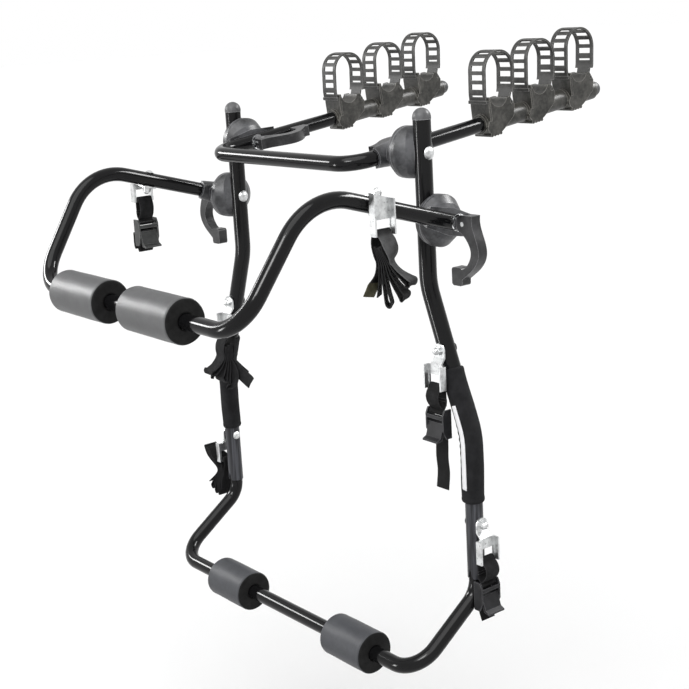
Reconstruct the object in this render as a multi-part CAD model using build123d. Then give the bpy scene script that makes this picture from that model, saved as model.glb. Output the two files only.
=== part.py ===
from build123d import *
from math import acos, atan2, cos, degrees, radians, sin, sqrt, tan
import os

# Spare wheel bike rack, in millimetres. +X is the rack's right, +Y points away from the car and
# +Z is up. The origin is the middle of the lower crossbar, on the tube's centre line.
# The two uprights stand in the plane y = UPRIGHT_Y. Pieces are drawn on the right and mirrored.

# Tubes
UPRIGHT_D = 25.0
RAIL_D = 22.0
RAIL_WALL = 1.5
SLIP = 0.05
BEND_GENTLE_R = 90.0

# Uprights: top, first bend, second bend and lower end
UPRIGHT_Y = 121.0
UPRIGHT_TOP_X = 227.0
SPLAY_TOP_Z = 521.0
UPRIGHT_LOW_X = 303.0
SPLAY_LOW_Z = 317.0
UPRIGHT_END_Z = 108.0
LOWER_HUB_RISE = 92.0
HUB_PITCH = 90.0
UPRIGHT_TOP_RISE = 45.0
CRIMP_TALL = 15.0
CRIMP_WIDE = 9.0

# Lower U tube, whose legs run up inside the uprights
LOWER_BEND_Z = 84.0
LOWER_BEND_R = 40.0
LOWER_CORNER_R = 45.0
LEG_INSERT = 45.0

# Bike arm frame, hinged at the upper hubs
ARM_SLOPE = 7.4
ARM_REACH = 406.0
ARM_BACK = 81.0
ARM_CORNER_R = 38.0

# Spacer frame, hinged at the lower hubs
SPACER_SLOPE = 16.3
SPACER_KNEE = 246.0
SPACER_TAIL = 23.0
SPACER_DROP_Y = 108.4
SPACER_DROP_Z = 162.0
SPACER_BAR_X = 264.5
SPACER_KNEE_R = 85.0
SPACER_CORNER_R = 58.0

# Hubs: two domed discs clamped together on one bolt
HUB_R = 36.0
HUB_RIM = 7.0
HUB_DEPTH = 25.5
HUB_REACH = 27.0
HUB_GAP = 0.3
HUB_GORES = 7
HUB_FAN = 132.0
COLLAR_R = 19.0
COLLAR_WALL = 3.5
COLLAR_REACH = 7.0
BOLT_R = 4.0
BOLT_FIT = 0.05
BOLT_HEAD_R = 9.0
BOLT_HEAD_H = 5.0
EYE_R = 6.0
EYE_FIT = 0.3
WASHER_R = 12.0
WASHER_T = 2.3
WASHER_LIFT = 0.1

# Hook levers
LEVER_PIVOT = 26.0
LEVER_HEAD_R = 12.0
LEVER_T = 16.0
LEVER_HEEL = 19.0
LEVER_BACK = ((21.0, 8.0), (28.0, 26.0), (29.5, 41.0), (22.5, 55.0), (9.0, 67.0))
LEVER_THROAT = ((3.0, 58.5), (11.5, 49.0), (15.0, 37.0), (10.0, 24.0))
LEVER_TIP = (-13.0, 72.0)
LEVER_TIP_SIZE = (20.0, 25.0)
LEVER_TIP_ROUND = 4.0
LEVER_UPPER_REST = 10.5
LEVER_EDGE_R = 2.0
PIN_R = 3.0

# Foam rollers
ROLLER_D = 63.0
ROLLER_EDGE = 3.0
LOWER_ROLLER_L = 90.0
LOWER_ROLLER_LEFT_X = -133.0
LOWER_ROLLER_RIGHT_X = 169.0
SPACER_ROLLER_L = 128.0
SPACER_ROLLER_LEFT_X = -116.0
SPACER_ROLLER_RIGHT_X = 79.0

# Tube caps and upright sleeves
CAP_SKIRT = 3.0
CAP_OVERHANG = 0.4
CAP_PLUG = 12.0
SLEEVE_D = 31.0
SLEEVE_RIGHT_TOP_Z = 408.0
SLEEVE_RIGHT_END_Z = 221.0
SLEEVE_LEFT_TOP_Z = 370.0
SLEEVE_LEFT_END_Z = 204.0

# Cradles on the bike arms
CRADLE_COUNT = 3
CRADLE_PITCH = 87.0
CRADLE_FIRST = 170.0
CRADLE_WIDTH = 34.0
CRADLE_SKIN_D = 29.0
CRADLE_LEAD = 9.0
CRADLE_CAP_GAP = 3.0
CUP_R = 17.0
CUP_AT = 20.0
CUP_H = 38.0
PLATE_T = 4.0
PLATE_WIDTH = 38.0
HORN_FIT = 0.3
STRAP_PIN_AT = 44.5
STRAP_PIN_H = 23.0
STRAP_PIN_R = 2.5
GRIP_RIBS = 4
GRIP_R = 2.6
GRIP_PITCH = 6.0
GRIP_DROP = 16.6

# Ladder straps
LADDER_T = 2.6
LADDER_WIDTH = 34.0
LADDER_GAP = 0.35
LADDER_TONGUE = 24.0
LADDER_LAP = 8.0
LADDER_LIP = (3.2, 4.5)
LADDER_FRONT = 11.0
LADDER_REAR = 27.0
LADDER_WINDOW = (23.0, 7.5)
LADDER_PITCH = 13.0
LADDER_TOP_H = 100.0
LADDER_ARCH_R = 28.0
LADDER_LEG_R = 30.0

# Strap brackets
BRACKET_T = 2.5
RING_W = 35.0
RING_H = 34.0
ARM_RING_H = 25.0
SLOT_W = 27.0
SLOT_H = 14.0
BAR_H = 6.0
FLANGE = 8.0
TAB_W = 20.0
STAND_OFF = 7.0
BRACKET_DROP = 50.0
ARM_BRACKET_OUT = 14.0
BRACKET_BOLT_R = 3.5
BRACKET_HEAD_R = 7.0
BRACKET_HEAD_H = 3.8
NUT_AF = 11.0
NUT_H = 5.5
BRACKET_BOLT_Z = 434.0
LOW_BRACKET_BOLT_Z = 190.0
ARM_BRACKET_RUN = 140.0

# Webbing, buckles and bundles
WEB_W = 25.0
WEB_T = 1.6
BAR_FIT = 0.45
BUCKLE_W = 36.0
BUCKLE_DEEP = 13.0
BUCKLE_TALL = 42.0
CHEEK_T = 2.5
BUCKLE_BAR_R = 2.4
BUCKLE_DROP = 36.0
BUCKLE_LIP = 5.0
CAM_R = 4.0
CAM_PIN_R = 1.8
CAM_FIT = 0.6
CAM_AT = 0.42
PLATE_THIN = 1.6
RIDGE_TALL = 5.0
WEB_SLACK = (9.5, 5.5)
SLACK_BEND_R = 14.0
TAIL_START = 8.0
TAIL_LAYER = 4.0
BUNDLE_RUNS = 8
BUNDLE_SPACE = 2.7
FOLD_TOP = 9.0
WAIST_BEND_R = 18.0
KNEE_BEND_R = 9.0
TURN_SHARE = 0.48
LEFT_ARM_TAIL = ((0, 82), (6, 82), (6, 46), (10, 46), (10, 80), (14, 80), (14, 52))
RIGHT_UPPER_TAIL = ((0, 84), (-2, 120), (-1, 152))
RIGHT_LOWER_TAIL = ((0, 84), (-2, 104))

LOWER_HUB_Z = SPLAY_TOP_Z + LOWER_HUB_RISE
UPPER_HUB_Z = LOWER_HUB_Z + HUB_PITCH
UPRIGHT_TOP_Z = UPPER_HUB_Z + UPRIGHT_TOP_RISE
UPRIGHT_BORE = RAIL_D + 2 * SLIP
ARM_X = UPRIGHT_TOP_X - 2 * HUB_REACH
SPACER_X = UPRIGHT_TOP_X + 2 * HUB_REACH
BRACKET_SEAT = UPRIGHT_D / 2 + SLIP
ARM_SEAT = RAIL_D / 2 + SLIP
EYE_IN = sqrt((BAR_H / 2) ** 2 + (BRACKET_T / 2) ** 2) + BAR_FIT
BUCKLE_EYE_IN = BUCKLE_BAR_R + BAR_FIT
SIDES = {"left": -1, "right": 1}


def both(name, right):
    """The right piece and its mirror image, under the names of their sides."""
    return {f"right_{name}": right, f"left_{name}": mirror(right, about=Plane.YZ)}


def tube_along(points, radius, outer, bore):
    """A round tube whose centre line is straight runs joined by bends."""
    path = FilletPolyline(*points, radius=radius)
    start = Plane(origin=path @ 0, z_dir=path % 0)
    return sweep(start * (Circle(outer / 2) - Circle(bore / 2)), path=path)


def rod(start, direction, length, radius):
    """A plain round rod from a point along a direction."""
    plane = Plane(origin=start, z_dir=direction)
    return plane * extrude(Circle(radius), length)


def arm_point(run, lift=0.0, x=0.0):
    """A point on the bike arms: run along the tube from the hub, lift square to it."""
    a = radians(ARM_SLOPE)
    return (x, UPRIGHT_Y + run * cos(a) - lift * sin(a), UPPER_HUB_Z + run * sin(a) + lift * cos(a))


def spacer_point(run, lift=0.0, x=0.0):
    """A point on the spacer arms: run towards the car from the hub, lift square to it."""
    a = radians(SPACER_SLOPE)
    return (x, UPRIGHT_Y - run * cos(a) + lift * sin(a), LOWER_HUB_Z + run * sin(a) + lift * cos(a))


def splay_x(z):
    """The centre line's x on the sloping part of the right upright."""
    share = (SPLAY_TOP_Z - z) / (SPLAY_TOP_Z - SPLAY_LOW_Z)
    return UPRIGHT_TOP_X + share * (UPRIGHT_LOW_X - UPRIGHT_TOP_X)


def hub_holes():
    """The two bolt holes through the right side's tubes at the hubs."""
    holes = []
    for z in (UPPER_HUB_Z, LOWER_HUB_Z):
        start = (ARM_X - RAIL_D, UPRIGHT_Y, z)
        holes.append(rod(start, (1, 0, 0), SPACER_X - ARM_X + 2 * RAIL_D, BOLT_R + BOLT_FIT))
    return holes


def upright():
    """Right upright: vertical at the hubs, splayed, vertical again, with a crimped lower end."""
    points = [
        (UPRIGHT_TOP_X, UPRIGHT_Y, UPRIGHT_TOP_Z),
        (UPRIGHT_TOP_X, UPRIGHT_Y, SPLAY_TOP_Z),
        (UPRIGHT_LOW_X, UPRIGHT_Y, SPLAY_LOW_Z),
        (UPRIGHT_LOW_X, UPRIGHT_Y, UPRIGHT_END_Z),
    ]
    body = tube_along(points, BEND_GENTLE_R, UPRIGHT_D, UPRIGHT_BORE)
    notch = make_face(Polyline((-CRIMP_WIDE / 2, 0), (CRIMP_WIDE / 2, 0), (0, CRIMP_TALL), close=True))
    plane = Plane(origin=(UPRIGHT_LOW_X, UPRIGHT_Y, UPRIGHT_END_Z), x_dir=(1, 0, 0), z_dir=(0, -1, 0))
    body -= plane * extrude(notch, UPRIGHT_D)
    for hole in hub_holes():
        body -= hole
    high = (splay_x(BRACKET_BOLT_Z), UPRIGHT_Y - UPRIGHT_D, BRACKET_BOLT_Z)
    body -= rod(high, (0, 1, 0), 2 * UPRIGHT_D, BRACKET_BOLT_R + BOLT_FIT)
    low = (UPRIGHT_LOW_X - UPRIGHT_D, UPRIGHT_Y, LOW_BRACKET_BOLT_Z)
    return body - rod(low, (1, 0, 0), 2 * UPRIGHT_D, BRACKET_BOLT_R + BOLT_FIT)


def lower_u_tube():
    """The bottom tube: two legs inside the uprights, bent forward to the crossbar."""
    x = UPRIGHT_LOW_X
    half = [(x, UPRIGHT_Y, UPRIGHT_END_Z + LEG_INSERT), (x, UPRIGHT_Y, LOWER_BEND_Z), (x, 0, 0)]
    points = half + [(-px, py, pz) for px, py, pz in reversed(half)]
    radii = [LOWER_BEND_R, LOWER_CORNER_R, LOWER_CORNER_R, LOWER_BEND_R]
    return tube_along(points, radii, RAIL_D, RAIL_D - 2 * RAIL_WALL)


def bike_arm_tube():
    """The U tube that carries the bikes, inside the uprights."""
    half = [arm_point(ARM_REACH, 0, ARM_X), arm_point(-ARM_BACK, 0, ARM_X)]
    points = half + [(-px, py, pz) for px, py, pz in reversed(half)]
    body = tube_along(points, ARM_CORNER_R, RAIL_D, RAIL_D - 2 * RAIL_WALL)
    hole = hub_holes()[0]
    return body - hole - mirror(hole, about=Plane.YZ)


def spacer_half():
    """The right half of the spacer frame's centre line."""
    knee = spacer_point(SPACER_KNEE, 0, SPACER_X)
    corner = (SPACER_BAR_X, knee[1] - SPACER_DROP_Y, knee[2] - SPACER_DROP_Z)
    return [spacer_point(-SPACER_TAIL, 0, SPACER_X), knee, corner]


def spacer_tube():
    """The hooked U tube that reaches over the spare wheel, outside the uprights."""
    half = spacer_half()
    points = half + [(-px, py, pz) for px, py, pz in reversed(half)]
    radii = [SPACER_KNEE_R, SPACER_CORNER_R, SPACER_CORNER_R, SPACER_KNEE_R]
    body = tube_along(points, radii, RAIL_D, RAIL_D - 2 * RAIL_WALL)
    hole = hub_holes()[1]
    body -= hole
    body -= mirror(hole, about=Plane.YZ)
    for side in SIDES.values():
        start = spacer_point(ARM_BRACKET_RUN, -RAIL_D, side * SPACER_X)
        body -= rod(start, spacer_up(), 2 * RAIL_D, BRACKET_BOLT_R + BOLT_FIT)
    return body


def spacer_up():
    """The direction square to the spacer arms, upwards."""
    a = radians(SPACER_SLOPE)
    return (0, sin(a), cos(a))


def hub_gore(turn):
    """One gore of a hub's dome: a round surface from pole to pole, leaning by an angle."""
    sag = HUB_DEPTH - HUB_RIM
    ball = (HUB_R ** 2 + sag ** 2) / (2 * sag)
    lean = radians(abs(turn))
    reach = ball + (HUB_DEPTH - ball) * cos(lean)
    if HUB_R * cos(lean) < (HUB_RIM - HUB_DEPTH + ball) * sin(lean):
        reach = HUB_R * sin(lean) + HUB_RIM * cos(lean)
    rise = reach - HUB_RIM * cos(lean)
    radius = (HUB_R ** 2 + rise ** 2) / (2 * rise)
    return Rot(-turn, 0, 0) * Pos(0, 0, reach - radius) * Rot(90, 0, 0) * Cylinder(radius, 6 * HUB_R)


def hub_half(x, z, toward, tube_d, slope, collared):
    """One hub disc: flat mating face, gored dome, trough for its tube; collars along an arm."""
    body = Cylinder(HUB_R, HUB_DEPTH, align=(Align.CENTER, Align.CENTER, Align.MIN))
    for index in range(HUB_GORES):
        body &= hub_gore(HUB_FAN * (index / (HUB_GORES - 1) - 0.5))
    if collared:
        long = HUB_R + COLLAR_REACH
        for side in (-1, 1):
            cone = Cone(COLLAR_R, tube_d / 2 + COLLAR_WALL, long, align=(Align.CENTER, Align.CENTER, Align.MIN))
            body += Pos(0, 0, HUB_REACH) * Rot(0, 90 * side, 0) * cone
        body -= Pos(0, 0, HUB_DEPTH) * Box(8 * HUB_R, 8 * HUB_R, 4 * HUB_R, align=(Align.CENTER, Align.CENTER, Align.MIN))
    body -= Pos(0, 0, HUB_REACH) * Rot(0, 90, 0) * Cylinder(tube_d / 2 + SLIP, 4 * HUB_R)
    body -= Cylinder(BOLT_R + BOLT_FIT, 4 * HUB_R)
    body -= Pos(0, 0, -HUB_R) * Box(4 * HUB_R, 4 * HUB_R, 2 * HUB_R + HUB_GAP)
    a = radians(slope)
    along = (0, cos(a), sin(a))
    return Plane(origin=(x, UPRIGHT_Y, z), x_dir=along, z_dir=(toward, 0, 0)) * body


def hub_plane(z, toward):
    """The bolt's frame: origin on the upright's axis, z towards the arm that it clamps."""
    return Plane(origin=(UPRIGHT_TOP_X, UPRIGHT_Y, z), x_dir=(0, 1, 0), z_dir=(toward, 0, 0))


def dome_head(radius, height):
    """A domed bolt head, flat side at the origin, pointing up."""
    ball = (radius ** 2 + height ** 2) / (2 * height)
    cap = Pos(0, 0, height - ball) * Sphere(ball)
    return cap & Cylinder(radius, height, align=(Align.CENTER, Align.CENTER, Align.MIN))


def cross_bar(centre, direction, length, radius):
    """A round bar centred on a point."""
    plane = Plane(origin=centre, z_dir=direction)
    return plane * Cylinder(radius, length)


def hub_bolt(z, toward, down):
    """Round-headed bolt through upright, hub and arm, with its eye and cross pin in the lever."""
    seat = -UPRIGHT_D / 2 - SLIP
    eye_at = 2 * HUB_REACH + LEVER_PIVOT
    body = Pos(0, 0, seat) * Rot(180, 0, 0) * dome_head(BOLT_HEAD_R, BOLT_HEAD_H)
    body += Pos(0, 0, seat) * extrude(Circle(BOLT_R), eye_at - seat)
    centre = (UPRIGHT_TOP_X + toward * eye_at, UPRIGHT_Y, z)
    across = Vector(toward, 0, 0).cross(Vector(*down))
    eye = cross_bar(centre, across, 2 * BOLT_R, EYE_R)
    pin = cross_bar(centre, across, LEVER_T, PIN_R)
    return hub_plane(z, toward) * body + eye + pin


def hub_washer(z, toward):
    """The bright ring between an arm tube and its lever."""
    ring = extrude(Circle(WASHER_R) - Circle(BOLT_R + BOLT_FIT), WASHER_T)
    lift = 2 * HUB_REACH + RAIL_D / 2 + WASHER_LIFT
    return hub_plane(z, toward) * Pos(0, 0, lift) * ring


def lever_blank():
    """The hook lever in its own plane: pivot at the origin, x away from the hub, y down the hook."""
    tip_x, tip_y = LEVER_TIP
    wide, tall = LEVER_TIP_SIZE
    outer = Spline((LEVER_HEEL, -LEVER_HEAD_R), *LEVER_BACK, (tip_x + 2, tip_y + tall / 2 - 2))
    inner = Spline((tip_x + 2, tip_y - tall / 2 + 2), *LEVER_THROAT, (-2, LEVER_HEAD_R))
    top = Polyline(inner @ 1, (0, -LEVER_HEAD_R), outer @ 0)
    plate = extrude(make_face(outer + inner + Line(outer @ 1, inner @ 0) + top), LEVER_T / 2, both=True)
    plate += Cylinder(LEVER_HEAD_R, LEVER_T)
    tip = RectangleRounded(wide, tall, LEVER_TIP_ROUND)
    plate += Pos(tip_x, tip_y, 0) * extrude(tip, LEVER_T / 2, both=True)
    slot = BOLT_R + EYE_FIT
    reach = EYE_R + EYE_FIT
    plate -= Pos(0, -reach, 0) * Box(2 * reach, 4 * reach, 2 * slot)
    plate -= Pos(-2 * reach, -reach, 0) * Box(4 * reach, 4 * reach, 2 * slot)
    return plate - Cylinder(PIN_R + SLIP, 2 * LEVER_T)


def lever(z, toward, down, rest):
    """A hook lever on its hub bolt: down is the direction of the hook, rest its opening angle."""
    origin = (UPRIGHT_TOP_X + toward * (2 * HUB_REACH + LEVER_PIVOT), UPRIGHT_Y, z)
    across = Vector(toward, 0, 0).cross(Vector(*down))
    plane = Plane(origin=origin, x_dir=(toward, 0, 0), z_dir=across)
    return plane * Rot(0, 0, -rest) * lever_blank()


def roller(x, y, z, length):
    """A foam roller pushed on to a crossbar."""
    body = Cylinder(ROLLER_D / 2, length) - Cylinder(RAIL_D / 2 + SLIP, length)
    rims = body.edges().filter_by(lambda e: e.geom_type == GeomType.CIRCLE and abs(e.radius - ROLLER_D / 2) < 0.1)
    return Pos(x, y, z) * Rot(0, 90, 0) * fillet(rims, ROLLER_EDGE)


def dome_cap(outer, bore):
    """A round-topped plastic plug, standing on the tube's end at the origin."""
    r = outer / 2 + CAP_OVERHANG
    arc = CenterArc((0, CAP_SKIRT), r, 0, 90)
    side = Polyline((0, 0), (r, 0), (r, CAP_SKIRT))
    body = revolve(Plane.XZ * make_face(side + arc + Line((0, CAP_SKIRT + r), (0, 0))), Axis.Z)
    return body + Pos(0, 0, -CAP_PLUG / 2) * Cylinder(bore / 2 - SLIP, CAP_PLUG)


def upright_caps():
    """Both domed caps of the uprights, as one group."""
    right = Pos(UPRIGHT_TOP_X, UPRIGHT_Y, UPRIGHT_TOP_Z) * dome_cap(UPRIGHT_D, UPRIGHT_BORE)
    return Compound(children=[right, mirror(right, about=Plane.YZ)])


def arm_end_caps():
    """Both domed caps of the bike arms, as one group."""
    a = radians(ARM_SLOPE)
    plane = Plane(origin=arm_point(ARM_REACH, 0, ARM_X), x_dir=(1, 0, 0), z_dir=(0, cos(a), sin(a)))
    right = plane * dome_cap(RAIL_D, RAIL_D - 2 * RAIL_WALL)
    return Compound(children=[right, mirror(right, about=Plane.YZ)])


def sleeve(side, top_z, end_z):
    """The soft wrap round the second bend of an upright."""
    points = [
        (side * splay_x(top_z), UPRIGHT_Y, top_z),
        (side * UPRIGHT_LOW_X, UPRIGHT_Y, SPLAY_LOW_Z),
        (side * UPRIGHT_LOW_X, UPRIGHT_Y, end_z),
    ]
    return tube_along(points, BEND_GENTLE_R, SLEEVE_D, UPRIGHT_D + 2 * SLIP)


def plate_round():
    """How far the top of a cradle's front plate leans back, on a round about the strap's pin."""
    radius = STRAP_PIN_AT + PLATE_T
    return sqrt(radius ** 2 - (CUP_H - STRAP_PIN_H) ** 2) - STRAP_PIN_AT


def cradle_outline():
    """Side view of a cradle: x along the arm from its front plate, y square to it."""
    rear = (CUP_AT + CUP_R * cos(radians(24)), CUP_H - CUP_R * sin(radians(24)))
    radius = STRAP_PIN_AT + PLATE_T
    share = radians(180) - 0.5 * atan2(CUP_H - STRAP_PIN_H, STRAP_PIN_AT + plate_round())
    middle = (STRAP_PIN_AT + radius * cos(share), STRAP_PIN_H + radius * sin(share))
    top = (-plate_round(), CUP_H)
    front = Line((-PLATE_T, 4), (-PLATE_T, STRAP_PIN_H))
    front += ThreePointArc((-PLATE_T, STRAP_PIN_H), middle, top)
    front += Line(top, (CUP_AT - CUP_R, CUP_H))
    cup = ThreePointArc((CUP_AT - CUP_R, CUP_H), (CUP_AT, CUP_H - CUP_R), rear)
    horn = Polyline(rear, (rear[0] + 7, rear[1]), (STRAP_PIN_AT + 5, STRAP_PIN_H - 5), (CUP_AT + 26, 2))
    belly = Spline((CUP_AT + 26, 2), (24, -12.5), (7, -17.5), (-6, -12.0), (-CRADLE_LEAD, -4))
    return make_face(front + cup + horn + belly + Line((-CRADLE_LEAD, -4), (-PLATE_T, 4)))


def cradle_blank(length):
    """A cradle module in its own frame: x along the arm, z square to it, the tube at the origin line."""
    body = Rot(90, 0, 0) * extrude(cradle_outline(), CRADLE_WIDTH / 2, both=True)
    skin = Rot(0, 90, 0) * Cylinder(CRADLE_SKIN_D / 2, length, align=(Align.CENTER, Align.CENTER, Align.MIN))
    body += Pos(-CRADLE_LEAD, 0, 0) * skin
    low = Box(PLATE_T, PLATE_WIDTH, STRAP_PIN_H - 4, align=(Align.MIN, Align.CENTER, Align.MIN))
    body += Pos(-PLATE_T, 0, 4) * low
    high = Box(PLATE_T, PLATE_WIDTH, CUP_H - STRAP_PIN_H, align=(Align.MIN, Align.CENTER, Align.MIN))
    turn = Pos(STRAP_PIN_AT, 0, STRAP_PIN_H) * Rot(90, 0, 0) * Cylinder(STRAP_PIN_AT + PLATE_T, 2 * PLATE_WIDTH)
    body += (Pos(-PLATE_T, 0, STRAP_PIN_H) * high) & turn
    for rib in range(GRIP_RIBS):
        at = (-2 + rib * GRIP_PITCH, 0, -GRIP_DROP)
        body += Pos(*at) * Rot(90, 0, 0) * Cylinder(GRIP_R, CRADLE_WIDTH)
    slot = Box(3 * STRAP_PIN_R + 12, LADDER_TONGUE + 2 * HORN_FIT, CUP_H, align=(Align.MIN, Align.CENTER, Align.MIN))
    body -= Pos(STRAP_PIN_AT - 5.6, 0, STRAP_PIN_H - 5.6) * slot
    body -= Pos(STRAP_PIN_AT, 0, STRAP_PIN_H) * Rot(90, 0, 0) * Cylinder(STRAP_PIN_R + SLIP, 2 * CRADLE_WIDTH)
    return body - Rot(0, 90, 0) * Cylinder(RAIL_D / 2 + SLIP, 4 * CRADLE_PITCH)


def cradle_place(side, index):
    """The frame of a cradle on a bike arm, counted from the uprights."""
    a = radians(ARM_SLOPE)
    origin = arm_point(CRADLE_FIRST + index * CRADLE_PITCH, 0, side * ARM_X)
    return Plane(origin=origin, x_dir=(0, cos(a), sin(a)), z_dir=(0, -sin(a), cos(a)))


def ladder_path():
    """Side view of a ladder strap: up the front plate, over the bike's tube and down to its pin."""
    front = -PLATE_T - LADDER_GAP - LADDER_T / 2
    rear = STRAP_PIN_AT + 4.5
    return FilletPolyline(
        (front, CUP_H - LADDER_LAP), (front, CUP_H + 6), (front + 8, LADDER_TOP_H), (rear + 12, LADDER_TOP_H),
        (rear + 2.5, CUP_H + 2), (STRAP_PIN_AT, STRAP_PIN_H),
        radius=[LADDER_LEG_R, LADDER_ARCH_R, LADDER_ARCH_R, LADDER_LEG_R],
    )


def ladder_blank():
    """A rubber ladder strap with its windows and its pinned tongue, in the cradle's frame."""
    path = ladder_path()
    band = Rot(90, 0, 0) * extrude(trace(path, LADDER_T), LADDER_WIDTH / 2, both=True)
    trim = (LADDER_WIDTH - LADDER_TONGUE) / 2 + 1
    for side in (-1, 1):
        at = (STRAP_PIN_AT, side * (LADDER_TONGUE / 2 + trim / 2), STRAP_PIN_H)
        band -= Pos(*at) * Box(26, trim, 26)
    wide, tall = LADDER_WINDOW
    start, end = LADDER_FRONT, path.length - LADDER_REAR
    count = int((end - start) / LADDER_PITCH)
    for step in range(count + 1):
        share = (start + step * (end - start) / count) / path.length
        spot = path @ share
        heading = path % share
        turn = degrees(atan2(heading.Y, heading.X))
        hole = tall if 0 < step < count else tall / 3
        band -= Pos(spot.X, 0, spot.Y) * Rot(0, -turn, 0) * Box(hole, wide, 4 * LADDER_T)
    deep, tall = LADDER_LIP
    lip = Box(deep, PLATE_WIDTH, tall, align=(Align.MAX, Align.CENTER, Align.MIN))
    band += Pos(-PLATE_T - LADDER_GAP, 0, CUP_H - LADDER_LAP) * lip
    eye = Pos(STRAP_PIN_AT, 0, STRAP_PIN_H) * Rot(90, 0, 0)
    band += eye * Cylinder(2 * STRAP_PIN_R, LADDER_TONGUE)
    return band - eye * Cylinder(STRAP_PIN_R + SLIP, LADDER_WIDTH)


def strap_pins():
    """The six cross pins that hold the ladder straps to the cradles."""
    pin = Pos(STRAP_PIN_AT, 0, STRAP_PIN_H) * Rot(90, 0, 0) * Cylinder(STRAP_PIN_R, CRADLE_WIDTH - 0.4)
    return Compound(children=[cradle_place(side, i) * pin for side in SIDES.values() for i in range(CRADLE_COUNT)])


def ring_face(height):
    """The outline of a strap ring, y up from the middle of its bar, with the strap's window."""
    plate = Pos(0, (height - BAR_H) / 2) * Rectangle(RING_W, height)
    window = Pos(0, (BAR_H + SLOT_H) / 2) * Rectangle(SLOT_W, SLOT_H)
    return plate - window


def ring_flanges(height):
    """The turned-out edges of a strap ring."""
    flanges = []
    for side in (-1, 1):
        at = (side * (RING_W - BRACKET_T) / 2, (height - BAR_H) / 2, BRACKET_T)
        flanges.append(Pos(*at) * Box(BRACKET_T, height, FLANGE, align=(Align.CENTER, Align.CENTER, Align.MIN)))
    return flanges


def upright_bracket(plane):
    """A stamped bracket: tab flat on an upright at the bolt, then a step out to the strap ring."""
    top = BRACKET_DROP + TAB_W / 2
    step_high = BRACKET_DROP - TAB_W / 2
    step_low = RING_H - BAR_H / 2 + 1.0
    outline = ring_face(RING_H)
    outline += Pos(0, (step_low + BRACKET_DROP) / 2 - 2) * Rectangle(TAB_W, BRACKET_DROP - step_low + 4)
    outline += Pos(0, BRACKET_DROP) * Circle(TAB_W / 2)
    spine = Polyline((0, top + 1), (0, step_high), (STAND_OFF, step_low), (STAND_OFF, -BAR_H))
    profile = trace(spine, BRACKET_T)
    strip = Pos(0, 0, BRACKET_T / 2) * Rot(0, -90, 0) * extrude(profile, RING_W, both=True)
    body = extrude(outline, 3 * STAND_OFF, both=True) & strip
    for flange in ring_flanges(RING_H):
        body += Pos(0, 0, STAND_OFF) * flange
    body -= Pos(0, BRACKET_DROP, 0) * Cylinder(BRACKET_BOLT_R + BOLT_FIT, 8 * BRACKET_T)
    return plane * Pos(0, -BRACKET_DROP, 0) * body


def bracket_bolt(plane, grip):
    """Domed bolt from the far side of a tube, with a round-topped nut over the bracket."""
    body = Pos(0, 0, -grip) * Rot(180, 0, 0) * dome_head(BRACKET_HEAD_R, BRACKET_HEAD_H)
    body += Pos(0, 0, -grip) * extrude(Circle(BRACKET_BOLT_R), grip + BRACKET_T)
    nut = extrude(RegularPolygon(NUT_AF / 2, 6, major_radius=False), NUT_H)
    nut += Pos(0, 0, NUT_H) * dome_head(NUT_AF / 2 - 0.3, NUT_AF / 2 - 0.8)
    return plane * (body + Pos(0, 0, BRACKET_T) * nut)


def high_bracket_plane(side):
    """The bolt seat of an upper upright bracket, on the side towards the car."""
    origin = (side * splay_x(BRACKET_BOLT_Z), UPRIGHT_Y - BRACKET_SEAT, BRACKET_BOLT_Z)
    return Plane(origin=origin, x_dir=(1, 0, 0), z_dir=(0, -1, 0))


def low_bracket_plane(side):
    """The bolt seat of a lower upright bracket, on the outer side."""
    origin = (side * (UPRIGHT_LOW_X + BRACKET_SEAT), UPRIGHT_Y, LOW_BRACKET_BOLT_Z)
    return Plane(origin=origin, x_dir=(0, side, 0), z_dir=(side, 0, 0))


def arm_bracket(side):
    """A bent bracket on a spacer arm, its ring hanging level on the outer side.

    The right one's tab lies on top of the tube and the left one's lies under it."""
    seat = side * ARM_SEAT
    arm = Plane(origin=spacer_point(ARM_BRACKET_RUN, seat, side * SPACER_X), x_dir=(side, 0, 0), z_dir=spacer_up())
    level = Align.MIN if side > 0 else Align.MAX
    tab = Box(ARM_BRACKET_OUT + BRACKET_T + TAB_W / 2, TAB_W, BRACKET_T, align=(Align.MIN, Align.CENTER, level))
    tab = Pos(-TAB_W / 2, 0, 0) * tab
    tab -= Cylinder(BRACKET_BOLT_R + BOLT_FIT, 4 * BRACKET_T)
    bar = arm_bar(side)
    wall = Plane(origin=(bar[0] - side * BRACKET_T / 2, bar[1], bar[2]), x_dir=(0, side, 0), z_dir=(side, 0, 0))
    height = ARM_RING_H + (ARM_SEAT + seat + BRACKET_T) / cos(radians(SPACER_SLOPE)) + RING_W
    ring = extrude(ring_face(height), BRACKET_T)
    for flange in ring_flanges(height):
        ring += flange
    top = BRACKET_T if side > 0 else 0
    above = Box(4 * RING_W, 4 * RING_W, 4 * RING_W, align=(Align.CENTER, Align.CENTER, Align.MIN))
    return arm * tab + (wall * ring - arm * Pos(0, 0, top) * above)


def arm_bar(side):
    """The centre of the level strap bar of a spacer arm's bracket."""
    reach = side * (SPACER_X + ARM_BRACKET_OUT + BRACKET_T / 2)
    x, y, z = spacer_point(ARM_BRACKET_RUN, -ARM_SEAT, reach)
    return (x, y, z - ARM_RING_H + BAR_H / 2)


def upright_bracket_bolts():
    """The four bolts of the upright brackets, with their nuts."""
    seats = [high_bracket_plane(s) for s in SIDES.values()] + [low_bracket_plane(s) for s in SIDES.values()]
    return Compound(children=[bracket_bolt(seat, 2 * BRACKET_SEAT) for seat in seats])


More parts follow.
